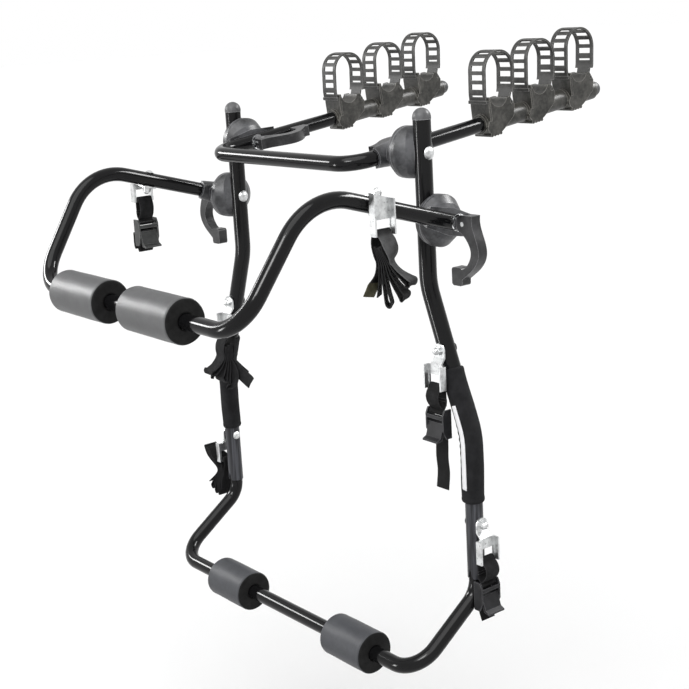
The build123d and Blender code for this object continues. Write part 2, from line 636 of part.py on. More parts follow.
def arm_bracket_bolts():
    """The two bolts through the spacer arms, each with its nut on its bracket's tab."""
    bolts = []
    for side in SIDES.values():
        up = spacer_up()
        origin = spacer_point(ARM_BRACKET_RUN, side * ARM_SEAT, side * SPACER_X)
        plane = Plane(origin=origin, x_dir=(1, 0, 0), z_dir=(0, side * up[1], side * up[2]))
        bolts.append(bracket_bolt(plane, 2 * ARM_SEAT))
    return Compound(children=bolts)


def bar_frame(bar, turn):
    """The frame of a hanging strap: x along its bracket's bar, z up, origin in the bar."""
    return Pos(*bar) * Rot(0, 0, turn)


def web_eye(radius, at):
    """A turn of webbing round a bar that lies along x, as a solid ring."""
    ring = Cylinder(radius + WEB_T, WEB_W) - Cylinder(radius, WEB_W)
    return Pos(0, 0, at) * Rot(0, 90, 0) * ring


def band(points, radius):
    """Webbing along a path in its strap's frame: the path's x is outwards and its y is up."""
    path = FilletPolyline(*points, radius=radius)
    return swept_band(path)


def swept_band(path):
    """A flat band whose middle follows a path."""
    start = Plane(origin=path @ 0, x_dir=(0, 0, 1), z_dir=path % 0)
    return Rot(0, 0, -90) * Rot(90, 0, 0) * sweep(start * Rectangle(WEB_W, WEB_T), path=path)


def buckle_web(tail):
    """The slack webbing between a bracket's bar and its buckle's bar, and the free end in the cam."""
    top = EYE_IN + WEB_T / 2
    low = BUCKLE_EYE_IN + WEB_T / 2
    loop = web_eye(EYE_IN, 0) + web_eye(BUCKLE_EYE_IN, -BUCKLE_DROP)
    for side, slack in zip((1, -1), WEB_SLACK):
        middle = (side * slack, -BUCKLE_DROP * 0.42)
        loop += band([(side * top, 0), middle, (side * low, -BUCKLE_DROP)], SLACK_BEND_R)
    throat = -CAM_R - CAM_FIT / 2 - WEB_T / 2
    points = [(throat, -BUCKLE_DROP - TAIL_START)] + [(throat - back, -drop) for back, drop in tail]
    return Compound(children=[loop, band(points, TAIL_LAYER * TURN_SHARE)])


def buckle_frame():
    """A cam buckle's frame: two cheeks, a back plate, the webbing bar and the cam's pin."""
    inner = BUCKLE_W - 2 * CHEEK_T
    cam_at = -BUCKLE_DROP - BUCKLE_TALL * CAM_AT
    back_at = CAM_R + CAM_FIT + WEB_T
    body = Pos(0, 0, -BUCKLE_DROP) * Rot(0, 90, 0) * Cylinder(BUCKLE_BAR_R, inner)
    body += Pos(0, 0, cam_at) * Rot(0, 90, 0) * Cylinder(CAM_PIN_R, inner)
    low = BUCKLE_LIP - BUCKLE_TALL
    front = BUCKLE_DEEP - BUCKLE_LIP
    back = -back_at - PLATE_THIN
    side = make_face(Polyline((back, BUCKLE_LIP), (4, BUCKLE_LIP), (front, -3), (front, -25), (2, low),
                              (back, low), close=True))
    for s in (-1, 1):
        x = s * (BUCKLE_W - CHEEK_T) / 2
        cheek = Plane(origin=(x, 0, -BUCKLE_DROP), x_dir=(0, -1, 0), z_dir=(-1, 0, 0))
        body += cheek * extrude(side, CHEEK_T / 2, both=True)
    plate = Box(BUCKLE_W, PLATE_THIN, BUCKLE_TALL * 0.62, align=(Align.CENTER, Align.MIN, Align.MIN))
    body += Pos(0, back_at, low - BUCKLE_DROP) * plate
    ridge = Box(BUCKLE_W, PLATE_THIN, RIDGE_TALL, align=(Align.CENTER, Align.MIN, Align.MAX))
    return body + Pos(0, -front, -BUCKLE_DROP - 4) * ridge


def buckle_lever():
    """A cam buckle's thumb lever: cam barrel, broad plate and turned-up lip."""
    inner = BUCKLE_W - 2 * CHEEK_T - 2 * CAM_FIT
    cam_at = -BUCKLE_DROP - BUCKLE_TALL * CAM_AT
    body = Pos(0, 0, cam_at) * Rot(0, 90, 0) * Cylinder(CAM_R, inner)
    blade = make_face(Polyline((-1, CAM_R - 0.5), (CAM_R + 1, 3), (11.5, -17), (18, -20), (18, -22.5), (8.5, -20.5),
                               (0, 0.5 - CAM_R), close=True))
    plane = Plane(origin=(0, 0, cam_at), x_dir=(0, -1, 0), z_dir=(-1, 0, 0))
    body += plane * extrude(blade, inner / 2, both=True)
    return body - Pos(0, 0, cam_at) * Rot(0, 90, 0) * Cylinder(CAM_PIN_R + SLIP, BUCKLE_W)


def least_gap(path, thickness, apart):
    """The least space between parts of a band that lie further than apart along it."""
    step = 1.5
    count = int(path.length / step)
    spots = [path @ (index / count) for index in range(count + 1)]
    spots = [(spot.X, spot.Y) for spot in spots]
    skip = int(apart / step) + 1
    least = path.length
    for index, (x, y) in enumerate(spots):
        for u, v in spots[index + skip:]:
            least = min(least, (x - u) ** 2 + (y - v) ** 2)
    return sqrt(least) - thickness


def round_bar(radius, inner, outer):
    """The arc of webbing over a bar at the origin, where straight runs from two low points meet it."""
    ends = []
    for side, (x, y) in ((-1, inner), (1, outer)):
        lean = atan2(y, x) + side * acos(radius / sqrt(x * x + y * y))
        ends.append((radius * cos(lean), radius * sin(lean)))
    return ThreePointArc(ends[0], (0, radius), ends[1])


def bundle(waist, depths, flare, shift, reach, bulge, crest):
    """A long strap folded up and tied: round its bar, then one band laid to and fro outwards.

    Waist is the tie's height, shift moves the waist outwards and reach the fanned ends, and
    bulge is how far the two legs above the waist stand from the bar. A crest of (lean, rise)
    lays the upper folds outside the legs, leaning out and rising above the waist."""
    middle = (BUNDLE_RUNS - 1) / 2
    offsets = [(run - middle) * BUNDLE_SPACE for run in range(BUNDLE_RUNS)]
    knee = waist * 0.45
    first = offsets[0]
    inner = (-bulge[0], knee)
    outer = (bulge[1], knee)
    over = round_bar(EYE_IN + WEB_T / 2, inner, outer)
    tail = [(reach + first * flare, -depths[-1]), (shift + first, waist), inner, over @ 0]
    points = [over @ 1, outer]
    radii = [KNEE_BEND_R]
    lean, rise = crest
    order = offsets[1:] if lean else offsets[:0:-1]
    for index, near in enumerate(order):
        up = (shift + near + lean, waist + rise)
        if lean:
            up = (shift + near * flare + lean, waist + rise)
        tied = (shift + near, waist)
        down = (reach + near * flare, -depths[index // 2 % len(depths)])
        down_turn = TURN_SHARE * BUNDLE_SPACE * flare
        up_turn = down_turn if lean else TURN_SHARE * BUNDLE_SPACE
        if index == 0:
            points += [tied, down]
            radii += [WAIST_BEND_R, down_turn]
        elif index % 2 == 1:
            points += [down, tied, up]
            radii += [down_turn, WAIST_BEND_R, up_turn]
        else:
            points += [up, tied, down]
            radii += [up_turn, WAIST_BEND_R, down_turn]
    start = FilletPolyline(*tail, radius=[WAIST_BEND_R, KNEE_BEND_R])
    rest = FilletPolyline(*points, radius=radii[:len(points) - 2])
    path = Wire(start.edges() + over.edges() + rest.edges())
    gap = least_gap(path, WEB_T, 3.2 * BUNDLE_SPACE * flare)
    print("band", round(path.length), "mm long, least bend", round(min(radii), 2), "mm, least gap", round(gap, 2))
    return swept_band(path)


def build():
    """Every node of the rack, under its own name."""
    high, low = UPPER_HUB_Z, LOWER_HUB_Z
    mate_high = UPRIGHT_TOP_X - HUB_REACH
    mate_low = UPRIGHT_TOP_X + HUB_REACH
    nodes = {}
    nodes.update(both("upright_tube", upright()))
    nodes["lower_u_tube"] = lower_u_tube()
    nodes["bike_arm_tube"] = bike_arm_tube()
    nodes["spacer_tube"] = spacer_tube()
    nodes["upright_caps"] = upright_caps()
    nodes["arm_end_caps"] = arm_end_caps()
    nodes.update(both("upper_hub_upright_half", hub_half(mate_high, high, 1, UPRIGHT_D, 90, False)))
    nodes.update(both("upper_hub_arm_half", hub_half(mate_high, high, -1, RAIL_D, ARM_SLOPE, True)))
    nodes.update(both("lower_hub_upright_half", hub_half(mate_low, low, -1, UPRIGHT_D, 90, False)))
    nodes.update(both("lower_hub_arm_half", hub_half(mate_low, low, 1, RAIL_D, -SPACER_SLOPE, True)))
    a = radians(ARM_SLOPE)
    along = (0, cos(a), sin(a))
    under = (0, 0, -1)
    bolts = [hub_bolt(high, -1, along), hub_bolt(low, 1, under)]
    washers = [hub_washer(high, -1), hub_washer(low, 1)]
    nodes["hub_bolts"] = Compound(children=bolts + [mirror(b, about=Plane.YZ) for b in bolts])
    nodes["hub_washers"] = Compound(children=washers + [mirror(w, about=Plane.YZ) for w in washers])
    nodes.update(both("upper_lever", lever(high, -1, along, LEVER_UPPER_REST)))
    nodes.update(both("lower_lever", lever(low, 1, under, 0)))
    nodes["left_sleeve"] = sleeve(-1, SLEEVE_LEFT_TOP_Z, SLEEVE_LEFT_END_Z)
    nodes["right_sleeve"] = sleeve(1, SLEEVE_RIGHT_TOP_Z, SLEEVE_RIGHT_END_Z)
    bar = spacer_half()[2]
    nodes["left_lower_roller"] = roller(LOWER_ROLLER_LEFT_X, 0, 0, LOWER_ROLLER_L)
    nodes["right_lower_roller"] = roller(LOWER_ROLLER_RIGHT_X, 0, 0, LOWER_ROLLER_L)
    nodes["left_spacer_roller"] = roller(SPACER_ROLLER_LEFT_X, bar[1], bar[2], SPACER_ROLLER_L)
    nodes["right_spacer_roller"] = roller(SPACER_ROLLER_RIGHT_X, bar[1], bar[2], SPACER_ROLLER_L)
    last = CRADLE_FIRST - CRADLE_LEAD + (CRADLE_COUNT - 1) * CRADLE_PITCH
    cradles = [cradle_blank(CRADLE_PITCH)] * (CRADLE_COUNT - 1) + [cradle_blank(ARM_REACH - CRADLE_CAP_GAP - last)]
    strap = ladder_blank()
    for name, side in SIDES.items():
        for index, cradle in enumerate(cradles):
            place = cradle_place(side, index)
            nodes[f"{name}_cradle_{index + 1}"] = place * cradle
            nodes[f"{name}_ladder_strap_{index + 1}"] = place * strap
        nodes[f"{name}_upper_bracket"] = upright_bracket(high_bracket_plane(side))
        nodes[f"{name}_lower_bracket"] = upright_bracket(low_bracket_plane(side))
        nodes[f"{name}_arm_bracket"] = arm_bracket(side)
    nodes["ladder_strap_pins"] = strap_pins()
    nodes["upright_bracket_bolts"] = upright_bracket_bolts()
    nodes["arm_bracket_bolts"] = arm_bracket_bolts()
    nodes.update(hanging_straps())
    return nodes


def hanging_straps():
    """Three cam buckles and three tied strap bundles, each round the bar of its bracket."""
    bar_out = BRACKET_SEAT + STAND_OFF + BRACKET_T / 2
    high = (splay_x(BRACKET_BOLT_Z), UPRIGHT_Y - bar_out, BRACKET_BOLT_Z - BRACKET_DROP)
    low = (UPRIGHT_LOW_X + bar_out, UPRIGHT_Y, LOW_BRACKET_BOLT_Z - BRACKET_DROP)
    buckles = {
        "left_arm": (bar_frame(arm_bar(-1), 90), LEFT_ARM_TAIL),
        "right_upper": (bar_frame(high, 0), RIGHT_UPPER_TAIL),
        "right_lower": (bar_frame(low, 90), RIGHT_LOWER_TAIL),
    }
    bundles = {
        "right_arm": (bar_frame(arm_bar(1), 90), (-38, (98, 84, 104, 90), 2.1, 3, 11, (9, 16), (0, FOLD_TOP))),
        "left_upper": (bar_frame((-high[0], high[1], high[2]), 0), (-44, (110, 95, 112, 99), 2.2, 9, 18, (6, 20), (0, FOLD_TOP))),
        "left_lower": (bar_frame((-low[0], low[1], low[2]), -90), (-22, (63, 54, 68, 58), 1.7, 9, 15, (5, 5.2), (18, 44))),
    }
    nodes = {}
    for name, (place, tail) in buckles.items():
        nodes[f"{name}_buckle_webbing"] = place * buckle_web(tail)
        nodes[f"{name}_buckle_frame"] = place * buckle_frame()
        nodes[f"{name}_buckle_lever"] = place * buckle_lever()
    for name, (place, shape) in bundles.items():
        nodes[f"{name}_strap_bundle"] = place * bundle(*shape)
    return nodes


if __name__ == "__main__":
    os.makedirs("parts", exist_ok=True)
    for node, shape in build().items():
        export_step(shape, f"parts/{node}.step")
        print(node, round(shape.volume, 1))
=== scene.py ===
# %% [markdown]
# # A spare wheel bike rack, dressed for its portrait
# The rack is a frame of black powder-coated tube. It arrives here as an exact CAD model, one mesh
# for each real piece or set of fasteners, and nothing of it is moved. This lesson gives each piece
# its finish, and makes again what CAD only roughs out: foam, padded wraps and folded webbing.

# %% Load the frame
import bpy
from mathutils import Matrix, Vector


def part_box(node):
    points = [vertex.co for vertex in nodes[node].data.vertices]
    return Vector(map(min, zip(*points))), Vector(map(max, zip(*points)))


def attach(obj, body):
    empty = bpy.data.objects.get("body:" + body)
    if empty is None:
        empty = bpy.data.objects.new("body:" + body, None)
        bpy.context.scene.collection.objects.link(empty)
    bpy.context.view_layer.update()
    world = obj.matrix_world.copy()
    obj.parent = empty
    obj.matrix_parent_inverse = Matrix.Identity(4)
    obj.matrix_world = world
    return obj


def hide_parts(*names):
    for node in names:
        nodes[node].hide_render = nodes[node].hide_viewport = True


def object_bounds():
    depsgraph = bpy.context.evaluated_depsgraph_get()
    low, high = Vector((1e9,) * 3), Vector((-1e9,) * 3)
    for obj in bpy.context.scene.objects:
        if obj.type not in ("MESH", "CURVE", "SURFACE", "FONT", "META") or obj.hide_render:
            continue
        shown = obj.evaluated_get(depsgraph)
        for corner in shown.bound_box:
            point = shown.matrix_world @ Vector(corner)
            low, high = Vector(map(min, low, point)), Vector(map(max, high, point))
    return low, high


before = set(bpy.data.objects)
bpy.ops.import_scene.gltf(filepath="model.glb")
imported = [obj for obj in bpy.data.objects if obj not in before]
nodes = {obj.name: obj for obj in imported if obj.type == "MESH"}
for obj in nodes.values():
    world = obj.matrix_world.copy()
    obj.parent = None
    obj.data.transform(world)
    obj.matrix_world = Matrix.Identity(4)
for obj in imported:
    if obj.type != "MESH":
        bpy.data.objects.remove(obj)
cad_box = [list(corner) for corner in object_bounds()]

import bmesh
import bpy
import numpy as np
from mathutils import Matrix, Vector

scene = bpy.context.scene
TURN = 2 * np.pi
print("nodes", len(nodes), "box", cad_box)

# %% [markdown]
# ## The camera
# The photograph fixes the camera. It could be pushed about until the picture fits, but the tubes'
# real positions are known, so its place and its three directions were worked out from them.

# %% Place the camera
EYE = (1.6113, -1.1086, 0.8987)
RIGHT = (0.62361, 0.77971, -0.05617)
UP = (-0.15362, 0.19269, 0.96916)
BACK = (0.76649, -0.59575, 0.23994)
SENSOR_MM = 36.0
FOCAL_PX = 1357.4
PICTURE_PX = 689.0
camera_data = bpy.data.cameras.new("camera")
camera_data.sensor_width = SENSOR_MM
camera_data.lens = FOCAL_PX * SENSOR_MM / PICTURE_PX
camera_data.clip_start = 0.05
camera = bpy.data.objects.new("camera", camera_data)
facing = Matrix((RIGHT, UP, BACK)).transposed().to_4x4()
camera.matrix_world = Matrix.Translation(EYE) @ facing
scene.collection.objects.link(camera)
scene.camera = camera
print("lens", round(camera_data.lens, 2), "mm")

# %% [markdown]
# ## Shader maths as sentences
# A finish is a small program of nodes. They could be wired one by one, but a pattern is easier to
# read as a formula. Wrapping a socket in a class lets Python's own plus and times add the Math
# nodes.

# %% A value that can be reckoned with
def joined_by(kind, swapped=False):
    """A method that joins two values with one kind of Math node, the other way round if swapped."""
    def method(self, other):
        first, second = (other, self) if swapped else (self, other)
        return self.math(kind, first, second)
    return method


class Val:
    """A number that varies over a surface. Sums and products with it add Math nodes."""

    def __init__(self, finish, socket):
        self.finish = finish
        self.socket = socket

    def math(self, operation, first, second=0.0, third=0.0):
        """One Math node: operation(first, second, third)."""
        sockets = {0: first, 1: second, 2: third}
        return self.finish.node("ShaderNodeMath", {"operation": operation}, sockets)

    __add__, __radd__ = joined_by("ADD"), joined_by("ADD", True)
    __sub__, __rsub__ = joined_by("SUBTRACT"), joined_by("SUBTRACT", True)
    __mul__, __rmul__ = joined_by("MULTIPLY"), joined_by("MULTIPLY", True)
    __truediv__, __rtruediv__ = joined_by("DIVIDE"), joined_by("DIVIDE", True)

    def sin(self):
        """The sine of the value, taken as radians."""
        return self.math("SINE", self)

    def waves(self, length):
        """A sine wave of this length, from -1 to 1."""
        return (self / length * TURN).sin()

    def abs(self):
        """The value without its sign."""
        return self.math("ABSOLUTE", self)

    def wrap(self, low, high):
        """The value brought between low and high by whole steps."""
        return self.math("WRAP", self, high, low)

    def least(self, other):
        """The lesser of the value and another."""
        return self.math("MINIMUM", self, other)

    def ramp(self, low, high):
        """0 below low, 1 above high and smooth between."""
        sockets = {"Value": self, "From Min": low, "From Max": high}
        return self.finish.node(
            "ShaderNodeMapRange", {"interpolation_type": "SMOOTHSTEP"}, sockets)


print("a value can", [name for name in vars(Val) if not name.startswith("_")])

# %% [markdown]
# ## One material, one object
# Each finish is one Principled shader with a few patterns in front of it. A class keeps them
# together: constants go straight on to the shader's own sockets, and each pattern is a method that
# adds its node and hands back a value.

# %% A finish
class Finish:
    """One material, built on a Principled shader whose constants are set on its own sockets."""

    def __init__(self, name, **constants):
        self.material = bpy.data.materials.new(name)
        self.material.use_nodes = True
        self.tree = self.material.node_tree
        self.shader = self.tree.nodes["Principled BSDF"]
        for key, value in constants.items():
            self.shader.inputs[key.replace("_", " ")].default_value = value

    def node(self, kind, settings, sockets, output=0):
        """Adds a node: its settings first, then a value or a link for each socket."""
        made = self.tree.nodes.new(kind)
        for key, value in settings.items():
            setattr(made, key, value)
        for key, value in sockets.items():
            if isinstance(value, Val):
                self.tree.links.new(value.socket, made.inputs[key])
            else:
                made.inputs[key].default_value = value
        return Val(self, made.outputs[output])

    def place(self, scale=(1.0, 1.0, 1.0), source="Object"):
        """The point on the surface, in metres, stretched for a pattern."""
        point = self.node("ShaderNodeTexCoord", {}, {}, source)
        return self.node("ShaderNodeMapping", {}, {"Vector": point, "Scale": scale})

    def noise(self, point, per_metre, detail=2.0, roughness=0.5):
        """Soft random value around 0.5, with so many lumps to the metre."""
        sockets = {"Vector": point, "Scale": per_metre, "Detail": detail, "Roughness": roughness}
        return self.node("ShaderNodeTexNoise", {}, sockets)

    def cells(self, point, per_metre):
        """Distance to the nearest of many scattered points, as a share of their spacing."""
        return self.node("ShaderNodeTexVoronoi", {}, {"Vector": point, "Scale": per_metre})

    def edges(self, radius):
        """Near 1 on edges sharper than a rounding of this radius in metres, 0 on plain faces."""
        rounded = self.node("ShaderNodeBevel", {"samples": 6}, {"Radius": radius})
        plain = self.node("ShaderNodeNewGeometry", {}, {}, "Normal")
        match = self.node("ShaderNodeVectorMath", {"operation": "DOT_PRODUCT"},
                          {0: rounded, 1: plain}, "Value")
        return (1 - match).ramp(0.015, 0.16)

    def axes(self, point):
        """The three numbers of a point."""
        split = self.node("ShaderNodeSeparateXYZ", {}, {"Vector": point})
        outputs = split.socket.node.outputs
        return [Val(self, outputs[index]) for index in range(3)]

    def blend(self, mask, first, second):
        """A colour from first to second as mask goes from 0 to 1.

        A Mix node's two colours are its inputs 6 and 7, and their blend is its output 2."""
        made = self.tree.nodes.new("ShaderNodeMix")
        made.data_type = "RGBA"
        self.tree.links.new(mask.socket, made.inputs["Factor"])
        for socket, colour in zip((made.inputs[6], made.inputs[7]), (first, second)):
            if isinstance(colour, Val):
                self.tree.links.new(colour.socket, socket)
            else:
                socket.default_value = (*colour, 1.0)
        return Val(self, made.outputs[2])

    def link(self, **sockets):
        """Feeds varying values to the shader, which takes them for colour and roughness."""
        for key, value in sockets.items():
            self.tree.links.new(value.socket, self.shader.inputs[key.replace("_", " ")])

    def bump(self, height, depth):
        """Raises the surface by height times depth, in metres, for the light alone."""
        normal = self.node("ShaderNodeBump", {}, {"Height": height, "Distance": depth})
        self.tree.links.new(normal.socket, self.shader.inputs["Normal"])
        return self.material


def tinted(colour, times, plus=0.0):
    """A colour with each of its three numbers multiplied and raised."""
    return tuple(times * part + plus for part in colour)


print("a finish can", [name for name in vars(Finish) if not name.startswith("_")])

# %% [markdown]
# ## Powder-coated tube
# Powder is melted on to the steel in one glossy black skin. Up close it has orange peel: shallow
# waves a couple of millimetres across, which break up reflections just a little. A clear coat would
# be brighter than the real skin, so the black itself is smooth and reflects little, and only the
# softboxes draw hard white streaks on it. The uprights are painted greyer towards their feet, with
# darker streaks down them: a painted reflection of the white room in the glossy tube, so their
# colour reads the height of the point.

# %% Tube finishes
FEET_TURN_GREY = (0.20, 0.36)


def powder(name, base, rough, feet=None):
    """Black powder coat: orange peel, broad haze and dust. The feet's colour, a painted reflection,
    takes over lower down.

    Roughness is rough plus a little haze and dust. Streaks run down the feet's painted reflection."""
    finish = Finish(name, IOR=1.5, Specular_IOR_Level=0.17)
    point = finish.place()
    peel = finish.noise(point, per_metre=420.0, detail=1.0)
    haze = finish.noise(point, per_metre=28.0, detail=3.0)
    dust = finish.noise(point, per_metre=900.0).ramp(0.62, 0.75)
    colour = finish.blend(haze * 0.5 + dust * 0.18, base, tinted(base, 1.8, 0.004))
    roughness = rough + haze * 0.06 + dust * 0.1
    # Lower down the colour turns to the feet's grey in streaks: a painted reflection of the white
    # room.
    if feet:
        height = finish.axes(point)[2]
        low = 1 - height.ramp(*FEET_TURN_GREY)
        down = finish.place(scale=(1.0, 1.0, 0.05))
        streak = finish.noise(down, per_metre=150.0, detail=3.0, roughness=0.6).ramp(0.38, 0.62)
        colour = finish.blend(low * (streak * 0.75 + 0.25), colour, feet)
        roughness = roughness + low * 0.16
    finish.link(Base_Color=colour, Roughness=roughness)
    return finish.bump(peel + haze * 2.0, 0.00003)


tube_gloss = powder("black_powder_coat", (0.0040, 0.0040, 0.0044), 0.09)
# The uprights' grey feet are a painted reflection.
tube_upright = powder("black_powder_coat_painted_reflection", (0.0050, 0.0050, 0.0054), 0.12,
                      feet=(0.078, 0.080, 0.090))
print("tube finishes", tube_gloss.name, tube_upright.name)

# %% [markdown]
# ## Moulded plastics
# Hubs, levers, caps and cradles are glass-filled nylon: satin, a little blotchy, with the fine
# grain of a spark-eroded mould. Each gets its own grey. Their edges are painted lighter, a painted
# highlight where an edge would catch the light, in hollows as well as on ridges. They could be
# painted by hand, but they are found by rounding the normal over 1.5 mm and asking how far that
# turns it. A hub's dome gets painted light too, a painted highlight in its middle and painted shade
# at its rim and on its lower half, so its mask is a distance from the hub's own axis.

# %% Plastic finishes
HUB_Y = 0.121
LOW_HUB_Z = 0.613
HUB_PITCH = 0.090
BETWEEN_HUBS = (0.655, 0.661)
DOME_LIGHT_SQUARED = (0.00050, 0.00135)
# The rounding that finds the edges for their painted highlight.
EDGE_HIGHLIGHT_ROUNDING = 0.0015


def painted_dome_light(finish, point, rubs):
    """Painted light on a hub's dome: 1, a painted highlight, in its middle and 0, painted shade, at
    its rim, from the squared distance to its axis.

    The upper hub's height is first lowered by the pitch. The lower half of a dome is fainter, as
    painted shade under light from above."""
    _, deep, up = finish.axes(point)
    up = up - LOW_HUB_Z - up.ramp(*BETWEEN_HUBS) * HUB_PITCH
    deep = deep - HUB_Y
    dome_light = 1 - (deep * deep + up * up + rubs * 0.0003).ramp(*DOME_LIGHT_SQUARED)
    return dome_light * (up.ramp(-0.022, 0.016) * 0.55 + 0.45)


def moulded(name, dark, light, rough, gloss=0.32, mottle=0.11, grain=(1500.0, 0.00003),
            domed=False):
    """Moulded or dipped skin: blotches, rubbed mottles, pale specks, and edges painted paler as a
    painted highlight.

    Colour goes from dark to light by a sum of masks. grain is its lumps to the metre and depth."""
    grain_per_metre, grain_depth = grain
    finish = Finish(name, IOR=1.46, Specular_IOR_Level=gloss)
    point = finish.place()
    blotch = finish.noise(point, per_metre=34.0, detail=4.0, roughness=0.6)
    rubs = finish.noise(point, per_metre=150.0, detail=5.0, roughness=0.72)
    fine = finish.noise(point, per_metre=grain_per_metre)
    speck = 1 - finish.cells(point, per_metre=520.0).ramp(0.10, 0.34)
    flat = finish.place(scale=(1.0, 1.0, 6.0))
    scuff = finish.noise(flat, per_metre=160.0, detail=3.0, roughness=0.7).ramp(0.62, 0.8)
    wear_and_painted_light = rubs.ramp(0.36, 0.68) * mottle * 2.0 + speck * rubs.ramp(0.45, 0.6) * mottle
    if domed:
        # On a hub, painted light is added to the wear: a painted highlight in the dome's middle,
        # painted shade at its rim and low down.
        wear_and_painted_light = wear_and_painted_light * 0.7 + painted_dome_light(finish, point, rubs) * (rubs * 0.7 + 0.35)
    colour = finish.blend(blotch.ramp(0.36, 0.68) * 0.46 + scuff * 0.25 + wear_and_painted_light, dark, light)
    # Edges take a painted highlight: paler where the rounded normal turns, stronger where the rubs
    # noise is high.
    edge = finish.edges(EDGE_HIGHLIGHT_ROUNDING) * (rubs * 1.1 + 0.30)
    colour = finish.blend(edge, colour, tinted(light, 2.5, 0.05))
    finish.link(Base_Color=colour, Roughness=rough + blotch * 0.12 + rubs * 0.10)
    return finish.bump(fine + blotch + rubs * mottle, grain_depth)


ENAMEL_GRAIN = (700.0, 0.00002)
# The hubs' domes carry painted light as well as wear.
hub_plastic = moulded("hub_nylon", (0.010, 0.010, 0.011), (0.118, 0.120, 0.127), 0.26,
                      gloss=0.42, mottle=0.16, domed=True)
lever_plastic = moulded("lever_nylon", (0.008, 0.008, 0.009), (0.060, 0.060, 0.063), 0.25,
                        gloss=0.42)
cap_plastic = moulded("cap_vinyl", (0.060, 0.061, 0.063), (0.170, 0.171, 0.175), 0.30)
cradle_plastic = moulded("cradle_nylon", (0.009, 0.009, 0.007), (0.110, 0.106, 0.096), 0.30,
                         gloss=0.38, mottle=0.17)
buckle_paint = moulded("buckle_grey_enamel", (0.030, 0.031, 0.031), (0.074, 0.076, 0.075), 0.30,
                       grain=ENAMEL_GRAIN)
buckle_black = moulded("buckle_black_enamel", (0.007, 0.007, 0.008), (0.030, 0.030, 0.033), 0.36,
                       gloss=0.26, grain=ENAMEL_GRAIN)
strap_rubber = moulded("ladder_strap_rubber", (0.010, 0.010, 0.009), (0.088, 0.087, 0.083), 0.40,
                       mottle=0.14, grain=(900.0, 0.00005))
print("plastics", [m.name for m in bpy.data.materials if "nylon" in m.name or "vinyl" in m.name])

# %% [markdown]
# ## Zinc plate and the bright ring
# Bolts, nuts and brackets are zinc plated: near white metal, faintly streaked and specked, with
# dark spots where it tarnishes. The ring behind each lever is polished chrome. Metals take their
# light from what they reflect, so the roughness carries most of their look, and one recipe with
# more or fewer spots serves both.

# %% Metal finishes
def plated(name, pale, dull, rough, spots):
    """Plated metal: a cloudy mix of pale and dull, dark tarnish, specks and long fine streaks."""
    finish = Finish(name, Metallic=1.0)
    point = finish.place()
    cloud = finish.noise(point, per_metre=90.0, detail=5.0, roughness=0.65)
    speck = finish.cells(point, per_metre=700.0).ramp(0.10, 0.42)
    streak = finish.noise(finish.place(scale=(1.0, 1.0, 0.12)), per_metre=900.0)
    tarnish = finish.noise(point, per_metre=210.0, detail=5.0, roughness=0.75).ramp(0.56, 0.68)
    colour = finish.blend(cloud.ramp(0.35, 0.8) * spots, pale, dull)
    colour = finish.blend(tarnish * spots * 0.75, colour, tinted(dull, 0.3))
    finish.link(Base_Color=colour, Roughness=rough + cloud * 0.18 + (1 - speck) * 0.06 * spots)
    return finish.bump(streak * 0.6 + speck, 0.00002)


zinc = plated("zinc_plate", (0.66, 0.67, 0.67), (0.34, 0.345, 0.35), 0.24, spots=1.0)
bright_ring = plated("chrome_ring", (0.90, 0.91, 0.92), (0.82, 0.83, 0.84), 0.04, spots=0.3)
print("metals", zinc.name, bright_ring.name)

# %% [markdown]
# ## Foam
# Rollers are extruded foam with a rubbed skin, and a darker cut face at each end. An image would
# do, but noise on the point itself has no seam. Fine cells are the pores, slow noise is the
# cloudiness, and noise stretched along the bar is the drag of the die.

# %% Foam finishes
def foam(name, dark, light, rough, gloss=0.12):
    """Foam: fine pores, slow cloudiness and faint drag marks from its extrusion."""
    finish = Finish(name, Specular_IOR_Level=gloss)
    point = finish.place()
    pores = finish.cells(point, per_metre=900.0)
    skin = finish.noise(point, per_metre=60.0, detail=5.0, roughness=0.7)
    drag = finish.noise(finish.place(scale=(0.15, 1.0, 1.0)), per_metre=260.0, detail=3.0)
    mask = skin.ramp(0.35, 0.7) * 0.7 + (1 - pores.ramp(0.0, 0.5)) * 0.2
    colour = finish.blend(mask, dark, light)
    finish.link(Base_Color=colour, Roughness=rough + skin * 0.1)
    return finish.bump(pores + skin * 1.5 + drag * 0.8, 0.00010)


foam_face = foam("cut_foam_face", (0.008, 0.008, 0.008), (0.020, 0.020, 0.020), 0.70)
foam_skin = foam("grey_foam_skin", (0.066, 0.067, 0.069), (0.090, 0.092, 0.094), 0.40, gloss=0.40)
foam_skin_dark = foam("slate_foam_skin", (0.039, 0.041, 0.047), (0.054, 0.057, 0.065), 0.44,
                      gloss=0.30)
print("foams", foam_face.name, foam_skin.name, foam_skin_dark.name)

# %% [markdown]
# ## Knitted cloth
# The padded wraps are knitted cloth over foam, and a white tape of the same knit is sewn on one of
# them. A knit has to follow the cloth round its tube, so it reads the piece's own UV map, in
# metres: u is the way round from the seam and v the way down. Two sine waves make the loops.

# %% Knit finishes
KNIT_WIDE = 0.0011
KNIT_HIGH = 0.0014
SEAM_STITCH = 0.0030
SEAM_AT = 0.0045


